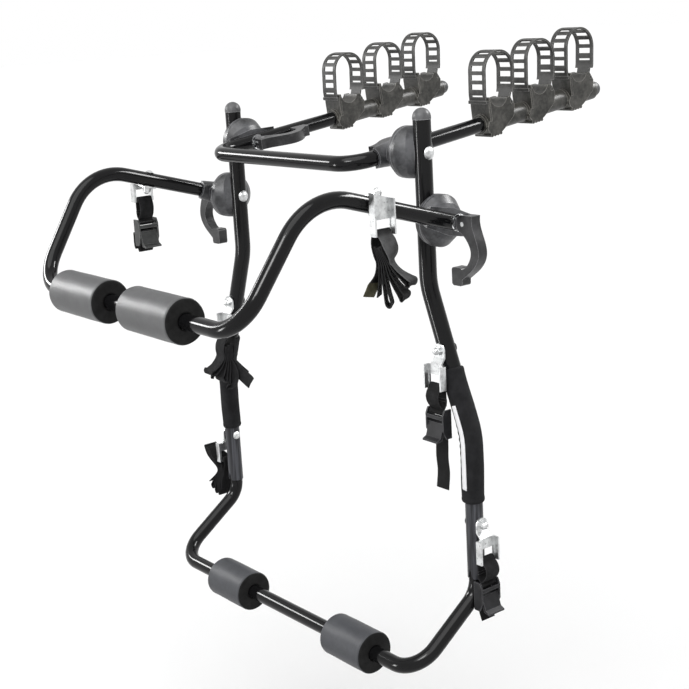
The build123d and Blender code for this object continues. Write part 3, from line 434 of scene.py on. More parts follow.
def knitted(name, dark, light):
    """Cloth over foam: loops are the product of two waves, and stitches are a dashed line."""
    finish = Finish(name, Specular_IOR_Level=0.12)
    round_way, down, _ = finish.axes(finish.place(source="UV"))
    loops = round_way.waves(KNIT_WIDE) * down.waves(KNIT_HIGH)
    cloud = finish.noise(finish.place(), per_metre=55.0, detail=4.0, roughness=0.6)
    colour = finish.blend(cloud.ramp(0.35, 0.7) * 0.7 + loops * 0.12, dark, light)
    stitch = down.waves(SEAM_STITCH).ramp(-0.2, 0.3)
    seam = (1 - (round_way - SEAM_AT).abs().ramp(0.0002, 0.0005)) * stitch
    colour = finish.blend(seam * 0.6, colour, tinted(light, 4.0))
    finish.link(Base_Color=colour, Roughness=0.66 + cloud * 0.12)
    return finish.bump(loops * 0.5 - seam * 1.5 + cloud, 0.00016)


wrap_cloth = knitted("padded_wrap", (0.008, 0.008, 0.009), (0.019, 0.019, 0.021))
white_tape = knitted("white_edge_tape", (0.84, 0.84, 0.86), (0.95, 0.95, 0.96))
print("knits", wrap_cloth.name, white_tape.name)

# %% [markdown]
# ## Webbing
# Webbing is woven, and its pattern has to follow the band through every fold. An image or Object
# coordinates would slide over it, so it reads the piece's own UV map: u runs across the 25 mm and v
# along it, both in metres. Ribs, a chevron of raised yarns, selvedges and rows of stitches are all
# waves and ramps of those two numbers. The selvedges are painted lighter, a painted sheen along the
# band's edges, and on one strap a stretch is painted lighter as painted light on its outer strand.

# %% Webbing finishes
WEB_HALF = 0.0125
YARN = 0.0017
WEB_STITCH = 0.0026
WEB_BLACK = (0.0050, 0.0050, 0.0050)


def row_at(along, place):
    """1 on a thin line across the band at this place, 0 elsewhere."""
    return 1 - (along - place).abs().ramp(0.0003, 0.0006)


def woven(name, dark, light, tip=0.0, seams=(), lit_stretch=()):
    """Webbing: a mask of yarns, wear and selvedges goes from dark to light. The selvedges' share is
    a painted sheen.

    tip is the length of a browner, heat-sealed first end, seams are the places along the band where
    a row of pale stitches crosses it, and lit_stretch is a stretch painted lighter: painted light
    on the outer strand, which faces the lamps."""
    finish = Finish(name, Specular_IOR_Level=0.10)
    across, along, _ = finish.axes(finish.place(source="UV"))
    chevron = ((across / YARN).wrap(0.0, 2.0) - 1.0).abs()
    yarn = ((along / (YARN * 0.55) + chevron) * TURN).sin() * 0.5 + 0.5
    ribs = across.waves(YARN * 0.5).abs()
    fuzz = finish.noise(finish.place(source="UV"), per_metre=1600.0)
    # The selvedges are painted lighter: a painted sheen along both edges of the band.
    edge = (across - WEB_HALF).abs().ramp(WEB_HALF - 0.0013, WEB_HALF - 0.0003)
    wear_and_painted_light = finish.noise(finish.place(), per_metre=70.0, detail=3.0)
    mask = (yarn * 0.35 + wear_and_painted_light.ramp(0.4, 0.75) * 0.35 + edge * 0.45).least(1.0)
    colour = finish.blend(mask, dark, light)
    # A stretch of the band is painted lighter: painted light on the outer strand, broken up by the
    # noise, the yarns and the selvedges.
    if lit_stretch:
        start, end = lit_stretch
        sun = along.ramp(start - 0.01, start + 0.01) * (1 - along.ramp(end - 0.006, end + 0.006))
        sun = sun * (wear_and_painted_light.ramp(0.3, 0.7) * 0.4 + yarn * 0.3 + edge * 0.4 + 0.2).least(1.0)
        colour = finish.blend(sun, colour, tinted(light, 2.4, 0.055))
    if tip:
        sealed = finish.blend(wear_and_painted_light.ramp(0.35, 0.7), (0.060, 0.056, 0.034), (0.125, 0.118, 0.075))
        colour = finish.blend(1 - along.ramp(tip, tip + 0.001), colour, sealed)
    height = yarn + ribs * 0.5 + fuzz * 0.4
    dashes = across.waves(WEB_STITCH).ramp(-0.3, 0.2)
    for place in seams:
        row = row_at(along, place) * dashes
        colour = finish.blend(row * 0.7, colour, tinted(light, 3.5, 0.02))
        height = height + row * 2.0
    finish.link(Base_Color=colour, Roughness=0.62 + fuzz * 0.2)
    return finish.bump(height, 0.00018)


webbing = woven("black_webbing", WEB_BLACK, (0.018, 0.018, 0.019))
# Its stretch from 0.104 to 0.178 m is painted lighter, as painted light on its outer strand.
webbing_tipped = woven("black_webbing_sealed_end", WEB_BLACK, (0.030, 0.030, 0.031),
                       tip=0.020, lit_stretch=(0.104, 0.178))
webbing_sewn = woven("black_webbing_sewn", WEB_BLACK, (0.036, 0.036, 0.038),
                     seams=(0.006, 0.010, 0.088, 0.092))
webbing_grey = woven("rubbed_webbing", (0.009, 0.009, 0.0095), (0.032, 0.032, 0.034))
print("webbings", [m.name for m in bpy.data.materials if "webbing" in m.name])

# %% [markdown]
# ## Dressing the CAD pieces
# The CAD pieces keep their shapes, and only take a finish. Sixty names could be listed, but pieces
# of a kind share a word, so a short table of words does it. Where two fit a name, the longer wins.

# %% Give the CAD pieces their finishes
FINISHES = {
    "upright_tube": tube_upright, "lower_u_tube": tube_gloss, "bike_arm_tube": tube_gloss,
    "spacer_tube": tube_gloss, "caps": cap_plastic, "hub_upright_half": hub_plastic,
    "hub_arm_half": hub_plastic, "bolts": zinc, "washers": bright_ring, "bracket": zinc,
    "strap_pins": zinc, "upper_lever": lever_plastic, "lower_lever": lever_plastic,
    "cradle": cradle_plastic, "ladder_strap": strap_rubber, "buckle_frame": buckle_paint,
    "buckle_lever": buckle_paint, "right_lower_buckle_frame": buckle_black,
    "right_lower_buckle_lever": buckle_black, "right_upper_buckle_frame": buckle_black,
    "right_upper_buckle_lever": buckle_black, "sleeve": wrap_cloth, "roller": foam_skin,
    "webbing": webbing, "bundle": webbing,
}


def dress(name, obj):
    """Puts the finish whose key is the longest found in the node's name into all its slots."""
    key = max((k for k in FINISHES if k in name), key=len)
    for index in range(len(obj.material_slots)):
        obj.material_slots[index].material = FINISHES[key]
    return key


chosen = {name: dress(name, obj) for name, obj in nodes.items()}
print("finishes", sorted(set(chosen.values())))

# %% [markdown]
# ## Surfaces from grids
# The new pieces could be primitives with modifiers, but all of them are something carried along
# something else. So each is a grid of points: rows run along it and columns run round it. Numpy
# works out all the points at once, and one call hands them to the mesh.

# %% Grid helpers
def outwards(obj):
    """Turns the faces outwards, which a mirrored or reversed grid may need."""
    work = bmesh.new()
    work.from_mesh(obj.data)
    bmesh.ops.recalc_face_normals(work, faces=work.faces)
    work.to_mesh(obj.data)
    work.free()
    return obj


def grid_mesh(name, points, materials, body, uv, caps=True, second_rows=()):
    """A closed mesh from points[row, column]: quads join each point to the next row and column,
    and the last column to the first. Caps close both ends with one face each, or else the last
    row is joined to the first, which makes a ring with a bore.

    The quads of second_rows take the second material."""
    rows, columns = points.shape[:2]
    index = np.arange(rows * columns).reshape(rows, columns)
    ahead = np.roll(index, -1, axis=1)
    quads = np.stack([index[:-1], ahead[:-1], ahead[1:], index[1:]], axis=-1)
    faces = quads.reshape(-1, 4).tolist()
    if caps:
        faces += [index[0, ::-1].tolist(), index[-1].tolist()]
    else:
        faces += np.stack([index[-1], ahead[-1], ahead[0], index[0]], axis=-1).tolist()
    mesh = bpy.data.meshes.new(name)
    mesh.from_pydata(points.reshape(-1, 3).tolist(), [], faces)
    layer = mesh.uv_layers.new(name="UVMap")
    corner = np.empty(len(mesh.loops), dtype=np.int32)
    mesh.loops.foreach_get("vertex_index", corner)
    layer.data.foreach_set("uv", uv.reshape(-1, 2)[corner].ravel())
    mesh.polygons.foreach_set("use_smooth", np.ones(len(mesh.polygons), dtype=bool))
    for material in materials:
        mesh.materials.append(material)
    if len(second_rows):
        second = np.zeros((rows - 1, columns), dtype=np.int32)
        second[list(second_rows)] = 1
        numbers = np.zeros(len(mesh.polygons), dtype=np.int32)
        numbers[:second.size] = second.ravel()
        mesh.polygons.foreach_set("material_index", numbers)
    mesh.update()
    obj = bpy.data.objects.new(name, mesh)
    scene.collection.objects.link(obj)
    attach(obj, body)
    return outwards(obj)


def smooth_step(value, low, high):
    """0 below low, 1 above high and an S curve between, for whole arrays."""
    share = np.clip((np.asarray(value) - low) / (high - low), 0.0, 1.0)
    return share * share * (3.0 - 2.0 * share)


def run_along(line):
    """How far along a line of points each of them is."""
    steps = np.linalg.norm(np.diff(line, axis=0), axis=1)
    return np.concatenate([[0.0], np.cumsum(steps)])


def directions(line):
    """The direction of a line of points at each of them, of length 1."""
    ahead = np.gradient(line, axis=0)
    return ahead / np.linalg.norm(ahead, axis=1)[:, None]


def uv_grid(across, along):
    """UV pairs in metres for each point of a grid: across varies by column, along by row."""
    return np.stack(np.broadcast_arrays(across, along), axis=-1)


print("a step half way up is", smooth_step(0.5, 0.0, 1.0))

# %% [markdown]
# ## Foam rollers
# A roller is a length of foam tube pushed over the crossbar. A cylinder with a bevel would look
# stiff. Here a profile with a faint bulge and soft rims is turned round the bar, its bore closes
# on the tube, and the rows of the flat ends take the darker finish of cut foam.

# %% Turn the rollers
ROLLER_R = 0.0315
RIM_R = 0.0035
FACE_R = np.array([0.026, 0.020, 0.015, 0.0123, 0.0114])
FACE_DIP = np.array([0.0, 0.0002, 0.0001, -0.0006, 0.0008])
WALL_FALL = 0.00025
RIM_ROWS = 3


def roller(name, body, skin):
    """A turned ring: profile (along, radius) times angle, with lumps of a tenth of a millimetre.

    The wall's radius falls by a parabola, and a rim is a quarter of a circle. FACE_R and FACE_DIP
    give each row of a flat end its radius and its depth."""
    low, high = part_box(name)
    half = (high[0] - low[0]) / 2
    centre = (np.array(low) + np.array(high)) / 2
    rim = np.linspace(0.0, np.pi / 2, 7)
    end_x = half - RIM_R + RIM_R * np.sin(rim)
    end_r = ROLLER_R - RIM_R + RIM_R * np.cos(rim)
    wall_x = np.linspace(-(half - RIM_R), half - RIM_R, 33)[1:-1]
    wall_r = ROLLER_R - WALL_FALL * (wall_x / half) ** 2
    right_x = np.concatenate([end_x, half - FACE_DIP])
    right_r = np.concatenate([end_r, FACE_R])
    x = np.concatenate([-right_x[::-1], wall_x, right_x])[:, None]
    r = np.concatenate([right_r[::-1], wall_r, right_r])[:, None]
    angle = np.linspace(0, TURN, 97)[:-1]
    lump = 0.00012 * np.sin(3 * angle + 40 * x) + 0.00008 * np.sin(7 * angle - 90 * x)
    on_wall = r > ROLLER_R - RIM_R
    radius = r + lump * on_wall - 0.0002
    along = np.broadcast_to(x, radius.shape)
    ring = np.stack([along, radius * np.cos(angle), radius * np.sin(angle)], axis=-1)
    uv = uv_grid(radius * angle, along)
    cut = len(FACE_R) + RIM_ROWS
    last = len(x) - 1
    ends = [*range(cut), *range(last - cut, last)]
    obj = grid_mesh(name + "_foam", ring + centre, (skin, foam_face), body, uv,
                    caps=False, second_rows=ends)
    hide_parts(name)
    return round(2 * half, 4)


for side in ("left", "right"):
    print(side, "rollers", roller(f"{side}_lower_roller", "main_frame", foam_skin_dark),
          roller(f"{side}_spacer_roller", "spacer_frame", foam_skin), "m long")

# %% [markdown]
# ## The line of an upright
# The padded wraps sit where the uprights bend. Their form is mostly that bend, so they need its
# line: a slope, an arc and a drop, worked out from the same corner as in the CAD.

# %% Draw the upright's middle line
UPRIGHT_X = (0.227, 0.303)
UPRIGHT_Y = 0.121
SPLAY_Z = (0.521, 0.317)
BEND_R = 0.090
WRAP_STEP = 0.0015


def wrap_line(top, end):
    """The centre line as (x, z) from top to end: a slope, an arc of radius BEND_R and a drop."""
    slope = np.array([UPRIGHT_X[1] - UPRIGHT_X[0], SPLAY_Z[1] - SPLAY_Z[0]])
    slope = slope / np.linalg.norm(slope)
    bend = np.arccos(-slope[1])
    corner = np.array([UPRIGHT_X[1], SPLAY_Z[1]])
    inset = BEND_R * np.tan(bend / 2)
    arc_from = corner - inset * slope
    first = arc_from - slope * (arc_from[1] - top) / slope[1]
    count = max(2, int(np.linalg.norm(arc_from - first) / WRAP_STEP))
    head = np.linspace(first, arc_from, count)
    angle = np.linspace(bend, 0.0, int(BEND_R * bend / WRAP_STEP))[1:]
    centre = np.array([UPRIGHT_X[1] - BEND_R, corner[1] - inset])
    arc = centre + BEND_R * np.stack([np.cos(angle), np.sin(angle)], axis=1)
    foot = np.linspace(arc[-1], (UPRIGHT_X[1], end), int((arc[-1][1] - end) / WRAP_STEP))[1:]
    return np.concatenate([head, arc, foot])


def round_upright(line, radius, angle):
    """Points at a radius and an angle round the line, square to it: 0 is outwards, then back."""
    along = directions(line)
    out = radius * np.cos(angle)
    deep = radius * np.sin(angle)
    x = line[:, :1] - along[:, 1:] * out
    z = line[:, 1:] + along[:, :1] * out
    return np.stack([x, UPRIGHT_Y + deep, z], axis=-1)


print("an upright's bend from 0.40 to 0.22 m is", round(run_along(wrap_line(0.40, 0.22))[-1], 4))

# %% [markdown]
# ## Padded wraps
# Round the second bend of each upright a strip of padded cloth is closed with a lengthwise flap. It
# could be a swelling cloth simulation, but it is thin and tight on its tube, so its form is mostly
# the bend it follows: a ring of points carried down the tube's centre line. The ring is fuller
# between the hems, steps where the flap laps over, and puckers on the inner side of the bend. It is
# lined, so it has a bore. A flat white tape is sewn along the right one, beside its seam.

# %% Carry the wraps down the uprights
WRAP_R = 0.0155
BORE_R = 0.0127
THIN_R = WRAP_R - 0.0005
FULL, LUMPS = 0.0006, 0.0005
HEM, HEM_AT, HEM_WIDE = 0.0006, 0.0045, 0.0026
FLAP, FLAP_ANGLE = 0.0013, 0.9
PUCKER, PUCKER_PITCH, PUCKER_REACH = 0.0007, 0.011, 0.026
LIP, LIP_REACH = 0.0012, 0.0022


def wrap(name, mirror, top, end, seam_at):
    """A ring of radius THIN_R plus its fullness, hems, flap and puckers, less its rounded lips.

    The fullness is half a wave along it with slow lumps, a hem is a bell curve near each end,
    the flap a bell curve from the seam, and the puckers are short waves near the bend."""
    line = wrap_line(top, end)
    run = run_along(line)
    whole = run[-1]
    s = run[:, None]
    from_end = np.minimum(s, whole - s)
    angle = np.linspace(0, TURN, 129)[:-1]
    full = FULL * np.sin(np.pi * s / whole) ** 0.5
    full = full + LUMPS * np.sin(5 * angle + 60 * s) * np.sin(31 * s)
    hem = HEM * np.exp(-((from_end - HEM_AT) / HEM_WIDE) ** 2)
    flap = FLAP * np.exp(-(angle / FLAP_ANGLE) ** 2) * smooth_step(angle, 0.0, 0.06)
    inner = 0.5 - 0.5 * np.cos(angle + seam_at)
    pucker = PUCKER * np.sin(s * TURN / PUCKER_PITCH + 0.8 * np.cos(2 * angle)) * inner ** 2
    bend = whole - (SPLAY_Z[1] - end) + 0.004
    pucker = pucker * np.exp(-((s - bend) / PUCKER_REACH) ** 2)
    lip = LIP * (1 - np.sqrt(np.clip(from_end / LIP_REACH, 0.0, 1.0)))
    radius = THIN_R + full + hem + flap + pucker - lip
    skin = round_upright(line, radius, angle + seam_at)
    lining = round_upright(line, np.full_like(radius, BORE_R), angle + seam_at)
    points = np.concatenate([skin, lining[::-1]])
    points[..., 0] *= mirror
    uv = uv_grid(angle * WRAP_R, np.concatenate([run, run[::-1]])[:, None])
    obj = grid_mesh(name + "_cloth", points, (wrap_cloth,), "main_frame", uv,
                    caps=False)
    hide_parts(name)
    return round(float(whole), 4)


TAPE_LIFT = np.linspace(0.0019, 0.0015, 9) * np.array([0.85, *[1.0] * 7, 0.85])
TAPE_ENDS_R = WRAP_R - 0.0004
TAPE_BACK_R = WRAP_R - 0.0006


def edge_tape(name, top, end, first, last):
    """A flat tape sewn along the wrap between two angles. Its back and ends are in the cloth.

    Its face's radius rises from TAPE_ENDS_R by the lift and a small wave, times a taper."""
    line = wrap_line(top, end)
    run = run_along(line)
    taper = smooth_step(np.minimum(run, run[-1] - run), 0.0, 0.003)[:, None]
    wave = 0.00012 * np.sin(run * 520.0)[:, None]
    face = TAPE_ENDS_R + (TAPE_LIFT + WRAP_R - TAPE_ENDS_R + wave) * taper
    radius = np.concatenate([face, np.full_like(face, TAPE_BACK_R)], axis=1)
    angle = np.linspace(first, last, len(TAPE_LIFT))
    angle = np.concatenate([angle, angle[::-1]])
    points = round_upright(line, radius, angle)
    uv = uv_grid(0.010 + (angle - first) * WRAP_R, run[:, None])
    grid_mesh(name, points, (white_tape,), "main_frame", uv)
    return round(float(run[-1]), 4)


print("right wrap", wrap("right_sleeve", mirror=1, top=0.408, end=0.221,
                         seam_at=np.radians(226)), "m long")
print("its tape", edge_tape("right_sleeve_edge_tape", top=0.362, end=0.240,
                            first=np.radians(254), last=np.radians(281)), "m long")
print("left wrap", wrap("left_sleeve", mirror=-1, top=0.370, end=0.204,
                        seam_at=np.radians(40)), "m long")

# %% [markdown]
# ## Lines for webbing
# A strap is one long band, so it starts as one long line in the plane that a folded strap lies in:
# out from its bracket, and up, in millimetres. A simulation would need the strap to be tied by
# hand first. Here the line is made of plain runs and bows, then averaged along itself, so that
# every corner softens as real webbing does.

# %% Runs, bows and hairpins
WEB_THICK = 0.0009
LINE_STEP = 0.0009
MM = 0.001


def run_down(near, far, power=1.7, count=40):
    """From near to far: the height falls evenly and the way out grows with a power of it."""
    share = np.linspace(0.0, 1.0, count)
    out = near[0] + (far[0] - near[0]) * share ** power
    return np.stack([out, near[1] + (far[1] - near[1]) * share], axis=1)


def hairpin(start, end, depth):
    """Half an ellipse from start to end that reaches depth below them, or above if negative."""
    start, end = np.array(start), np.array(end)
    angle = np.linspace(0.0, np.pi, 14)[1:-1, None]
    middle = (start + end) / 2
    return middle + np.cos(angle) * (start - middle) - np.sin(angle) * (0.0, depth)


def bow(start, pull, end, count=24):
    """A curve from start to end drawn towards pull: a parabola with pull as its handle."""
    share = np.linspace(0.0, 1.0, count)[:, None]
    start, pull, end = np.array(start), np.array(pull), np.array(end)
    return (1 - share) ** 2 * start + 2 * share * (1 - share) * pull + share ** 2 * end


def over_bar(radius, centre=0.0, sweep=200.0, below=False):
    """An arc about a bar at (0, centre): over it from its inner side to the outer, or, if below,
    under it from its outer side to the inner."""
    half = np.radians(sweep / 2)
    angle = np.pi / 2 + np.linspace(half, -half, 26)
    arc = radius * np.stack([np.cos(angle), np.sin(angle)], axis=1)
    if below:
        arc = arc[::-1] * (1.0, -1.0)
    return arc + (0.0, centre)


def soften(parts, soft=1.2):
    """Joins runs in millimetres into one line in metres and averages it over a bell curve."""
    points = np.concatenate(parts) * MM
    length = run_along(points)
    keep = np.concatenate([[True], np.diff(length) > 1e-7])
    at = np.linspace(0.0, length[-1], int(length[-1] / LINE_STEP) + 1)
    line = np.stack([np.interp(at, length[keep], column[keep]) for column in points.T], axis=1)
    reach = int(3 * soft * MM / LINE_STEP) + 1
    bell = np.exp(-0.5 * (np.arange(-reach, reach + 1) * LINE_STEP / (soft * MM)) ** 2)
    bell = bell / bell.sum()
    head = 2 * line[0] - line[reach:0:-1]
    foot = 2 * line[-1] - line[-2:-reach - 2:-1]
    longer = np.concatenate([head, line, foot])
    return np.stack([np.convolve(column, bell, mode="valid") for column in longer.T], axis=1)


print("a hairpin of 6 mm is", round(run_along(hairpin((0, 0), (6, 0), 4))[-1], 1), "mm round")

# %% [markdown]
# ## Bands of webbing
# A curve with a bevel would twist as it liked. So the band's cross-section, flat with round edges,
# is carried along its line by numpy, and at each point a second direction says which way its width
# lies.

# %% Carry the webbing's section
BARS = {"arm": (0.29625, -0.0164741, 0.6196875), "upper": (0.2594118, 0.10025, 0.384),
        "lower": (0.32375, 0.121, 0.140)}
FLAT = np.linspace(-0.94, 0.94, 7)
SECTION_WIDE = np.concatenate([FLAT, [1.0, 1.0], FLAT[::-1], [-1.0, -1.0]]) * WEB_HALF
SECTION_THICK = np.concatenate([np.ones(7), [0.45, -0.45], -np.ones(7), [-0.45, 0.45]]) * WEB_THICK


def bar_of(strap):
    """Where a strap's bar is. The left side's bars mirror the right side's."""
    side, place = strap.split("_")
    x, y, z = BARS[place]
    return np.array((-x if side == "left" else x, y, z))


def band(name, line, bar, turn, material, body, node, sway=None, swing=None, face=None):
    """Carries the webbing's section along a line of (out, up) and places it on its bar.

    Of each point (out, up): sway gives how far it moves along the bar, swing how far the whole
    strap is turned there about the vertical, and face how far the band's own width is turned."""
    out, up = line.T
    zero = np.zeros_like(out)
    shift = sway(out, up) if sway else zero
    twist = swing(out, up) if swing else zero
    lie = face(out, up) if face else twist
    spine = np.stack([shift * np.cos(twist) + out * np.sin(twist),
                      shift * np.sin(twist) - out * np.cos(twist), up], axis=1)
    across = np.stack([np.cos(lie), np.sin(lie), zero], axis=1)
    c, s = np.cos(np.radians(turn)), np.sin(np.radians(turn))
    round_z = np.array([[c, s, 0.0], [-s, c, 0.0], [0.0, 0.0, 1.0]])
    spine = spine @ round_z + bar
    across = across @ round_z
    along = directions(spine)
    across -= (across * along).sum(axis=1)[:, None] * along
    across /= np.linalg.norm(across, axis=1)[:, None]
    normal = np.cross(along, across)
    wide = SECTION_WIDE[:, None] * across[:, None]
    points = spine[:, None] + wide + SECTION_THICK[:, None] * normal[:, None]
    gone = run_along(spine)
    uv = uv_grid(SECTION_WIDE + WEB_HALF, gone[:, None])
    obj = grid_mesh(name, points, (material,), body, uv)
    if node:
        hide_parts(node)
    return round(float(gone[-1]), 3)


print("a band has", len(SECTION_WIDE), "points round it")

# %% [markdown]
# ## Long straps, folded up and tied
# Three of the six straps are not in use. Each goes round its bracket's bar, and both its halves are
# laid to and fro below, held at a waist, so the folds fan out like a tassel. They could be three
# drawings, but one recipe makes all three: eight runs from the waist, joined in hairpins. What
# differs is where each run ends, and how the fan is swung and swayed.

# %% The recipe of a folded strap
BAR_R = 4.6
FOLD_PITCH = 2.7
RUNS = 8


def folded(waist, middle, ends, knees, tops, last=7):
    """One band: a free end, up the first run, over the bar, down the last, then to and fro.

    middle is where the eight runs are centred at the waist, ends the eight (out, depth) of their
    lower ends, knees the handles of the inner and the outer leg, and tops the (out, rise) of the
    upper folds. The band comes down from the bar on run 7 and folds inwards, or on run 1 and
    folds outwards."""
    step = -1 if last == 7 else 1
    arc = over_bar(BAR_R)
    near = middle + (np.arange(RUNS) - (RUNS - 1) / 2) * FOLD_PITCH
    ends = [(out, -depth) for out, depth in ends]
    ties = [(out, waist) for out in near]
    parts = [run_down(ties[0], ends[0])[::-1], bow(ties[0], knees[0], arc[0]), arc,
             bow(arc[-1], knees[1], ties[last]), run_down(ties[last], ends[last])]
    for index, (lean, rise) in enumerate(tops):
        lower = last + step * (1 + 2 * index)
        before, upper = lower - step, lower + step
        droop = 2.6 + 0.35 * abs(ends[before][0] - ends[lower][0])
        high, back = (ties[lower][0] + lean, waist + rise), (ties[upper][0] + lean, waist + rise)
        parts += [hairpin(ends[before], ends[lower], droop),
                  run_down(ties[lower], ends[lower])[::-1],
                  run_down(ties[lower], high, 1.2, 12),
                  hairpin(high, back, -1.6),
                  run_down(ties[upper], back, 1.2, 12)[::-1],
                  run_down(ties[upper], ends[upper])]
    return parts


def least_space(line):
    """The least space in millimetres between two stretches of a line, less their thickness.

    Points less than seven places apart are neighbours on one stretch, so they don't count."""
    thin = line[::2] / MM
    apart = np.linalg.norm(thin[:, None] - thin[None], axis=2)
    row, column = np.indices(apart.shape)
    apart[np.abs(row - column) < 7] = np.inf
    return round(float(apart.min()) - 2 * WEB_THICK / MM, 2)


def bundle(name, line, turn, material, **bends):
    """Makes one folded strap, which replaces its plain node, and tells its length and spaces."""
    node = f"{name}_strap_bundle"
    size = band(f"{name}_strap_folds", line, bar_of(name), turn, material, node, node, **bends)
    print(name, "bundle", size, "m, least space", least_space(line), "mm")


print("eight runs, tied", FOLD_PITCH * (RUNS - 1), "mm wide")

# %% [markdown]
# ## The strap on the right arm
# Its folds fan out in loops, with a browner sealed end at the left. A drawing in one plane could
# not show them open, so the fan is turned about the vertical as it falls.

# %% Hang the right arm's strap
RIGHT_ARM_SWING = np.radians(42)


def right_arm_swing(out, up):
    """The turn grows from the bar to its full size over 32 mm."""
    return RIGHT_ARM_SWING * smooth_step(-up, 0.010, 0.042)


def right_arm_face(out, up):
    """The width follows the swing, but turns back low down at the outer and inner folds."""
    low = smooth_step(-up, 0.045, 0.070)
    outer = smooth_step(out, 0.016, 0.036)
    inner = smooth_step(-out, 0.004, 0.015)
    return right_arm_swing(out, up) * (1 - low * (0.55 * outer + 0.75 * inner))


ends = [(-21, 83), (-7, 82), (2, 89), (10, 92), (22, 85), (29, 80), (32, 66), (38, 62)]
parts = folded(-36, 3.0, ends, knees=((-10, -17), (23, -14)), tops=((0, 19), (0, 17), (0, 18)))
bundle("right_arm", soften(parts), 90, webbing_tipped, swing=right_arm_swing, face=right_arm_face)

# %% [markdown]
# ## The straps on the left upright
# The upper one spreads both ways along its bar. The lower one is tied short, and its upper folds
# stand up behind the bracket. Moving each point along the bar by a formula of its height is
# simpler than drawing each in three dimensions.

# %% Hang the left upright's straps
def left_upper_sway(out, up):
    """Low down the inner runs move one way, by 63 mm at most, and the outer the other, by 7."""
    low = np.clip((-up - 0.049) / 0.022, 0.0, 1.25) ** 1.35
    inner = 1 - smooth_step(out, 0.003, 0.012)
    outer = smooth_step(out, 0.026, 0.040)
    return low * (0.044 * inner + 0.004 - 0.013 * outer)


def left_lower_sway(out, up):
    """The upper folds move 13 mm along the bar and the lower ones 8 mm."""
    high = smooth_step(up, -0.020, 0.014) * smooth_step(out, 0.008, 0.016)
    low = smooth_step(-up, 0.024, 0.046)
    return 0.013 * high + 0.008 * low


ends = [(0, 71), (4, 77), (10, 82), (15, 81), (21, 77), (27, 72), (36, 65), (42, 60)]
parts = folded(-36, 9.0, ends, knees=((-6, -18), (24, -17)), tops=((0, 13), (0, 15), (0, 17)))
bundle("left_upper", soften(parts), 0, webbing_grey, sway=left_upper_sway)

ends = [(-3, 52), (4, 58), (9, 62), (14, 60), (20, 57), (25, 54), (31, 50), (37, 46)]
parts = folded(-22, 9.0, ends, knees=((-5, -12), (5.6, -12)), tops=((15, 41), (15, 42), (17, 44)),
               last=1)
bundle("left_lower", soften(parts, soft=1.0), -90, webbing, sway=left_lower_sway)

# %% [markdown]
# ## Straps with cam buckles
# The other three straps carry a buckle each. A short loop is sewn round the bracket's bar and the
# buckle's bar, slack, so it stands out like a fat leaf. The strap itself runs through the buckle
# between the cam and the back plate, and its free end hangs down or is folded away behind. Only
# the legs of the loops and the points of the ends differ, so short tables hold them.

# %% Hang the loops and their free ends
DROP = -36.0
THROAT = -5.1
BUCKLE_BAR_R = 3.75
TURNS = {"left_arm": 90, "right_upper": 0, "right_lower": 90}
LOOPS = {"left_arm": (7.0, 5.0), "right_upper": (10.5, 5.5), "right_lower": (13.0, 5.0)}
ENDS = {
    "left_arm": (3.0, ((THROAT, -80), (-8, -86), (-11, -80), (-11.5, -58), (-14.5, -47),
                       (-17.5, -56), (-16.5, -72), (-18.5, -82), (-22.5, -76), (-21.5, -54))),
    "right_upper": (5.0, ((THROAT, -84), (-4.0, -104), (-6.4, -126), (-3.0, -150))),
    "right_lower": (3.0, ((THROAT, -74), (-3.5, -80), (0.5, -90))),
}


def slack_loop(outer, inner):
    """Up the inner leg, over the bracket's bar, down the outer, under the buckle's bar and up.

    It goes under that bar from the inner side, so the legs cross just above it."""
    top = over_bar(BAR_R)
    low = over_bar(BUCKLE_BAR_R, DROP, 190.0, below=True)[::-1]
    start = (-4.5, DROP + 9)
    return [bow(start, (-inner, -16), top[0]), top, bow(top[-1], (outer * 1.9, -17), low[0]), low,
            bow(low[-1], (-6.9, DROP + 8), (-inner * 0.62 - 2.0, -17), 16)]


def free_end(places):
    """A run through the given (out, up) points, from inside the buckle."""
    return [np.array([(THROAT, DROP - 8.0), *places], dtype=float)]


for name, turn in TURNS.items():
    body = f"{name}_buckle"
    loop_line = soften(slack_loop(*LOOPS[name]), soft=1.1)
    loop = band(f"{name}_sewn_loop", loop_line, bar_of(name), turn, webbing_sewn, body,
                f"{name}_buckle_webbing")
    soft, places = ENDS[name]
    end_line = soften(free_end(places), soft)
    rest = band(f"{name}_free_end", end_line, bar_of(name), turn, webbing, body, None)
    print(name, "loop", loop, "m, free end", rest, "m")

# %% [markdown]
# ## The lamps
# A round tube mirrors whatever lies on one cone of directions. Strong lamps there would also bleach
# the colours. So each softbox stands where the tubes of one direction look, and reaches only
# glossy rays: it draws a bright streak and leaves the colours as written. A broad, soft sun brings
# the floor up to white and keeps a faint shadow.

# %% Hang the lamps
SOFTBOXES = (
    ("tubes across", "left_softbox", (-2.5, -1.3, 1.5), (0, -0.1, 0.3), (1.1, 0.5), 34.0),
    ("arms", "rear_softbox", (0.9, 1.9, 2.1), (0.2, 0.1, 0.5), (1.3, 0.5), 34.0),
    ("uprights", "low_softbox", (-1.2, -2.6, 0.15), (0, 0.1, 0.55), (0.35, 0.8), 30.0),
    ("domes", "key_softbox", (0.9, -2.4, 2.3), (0, 0, 0.4), (1.0, 0.6), 24.0),
)
SUN_FROM = (0.35, -0.65, 1.25)
SUN_STRENGTH = 2.76
SUN_DEGREES = 60


def pointed(away):
    """The turn that makes a lamp shine the other way from this direction."""
    return Vector(away).to_track_quat("Z", "Y").to_matrix().to_4x4()


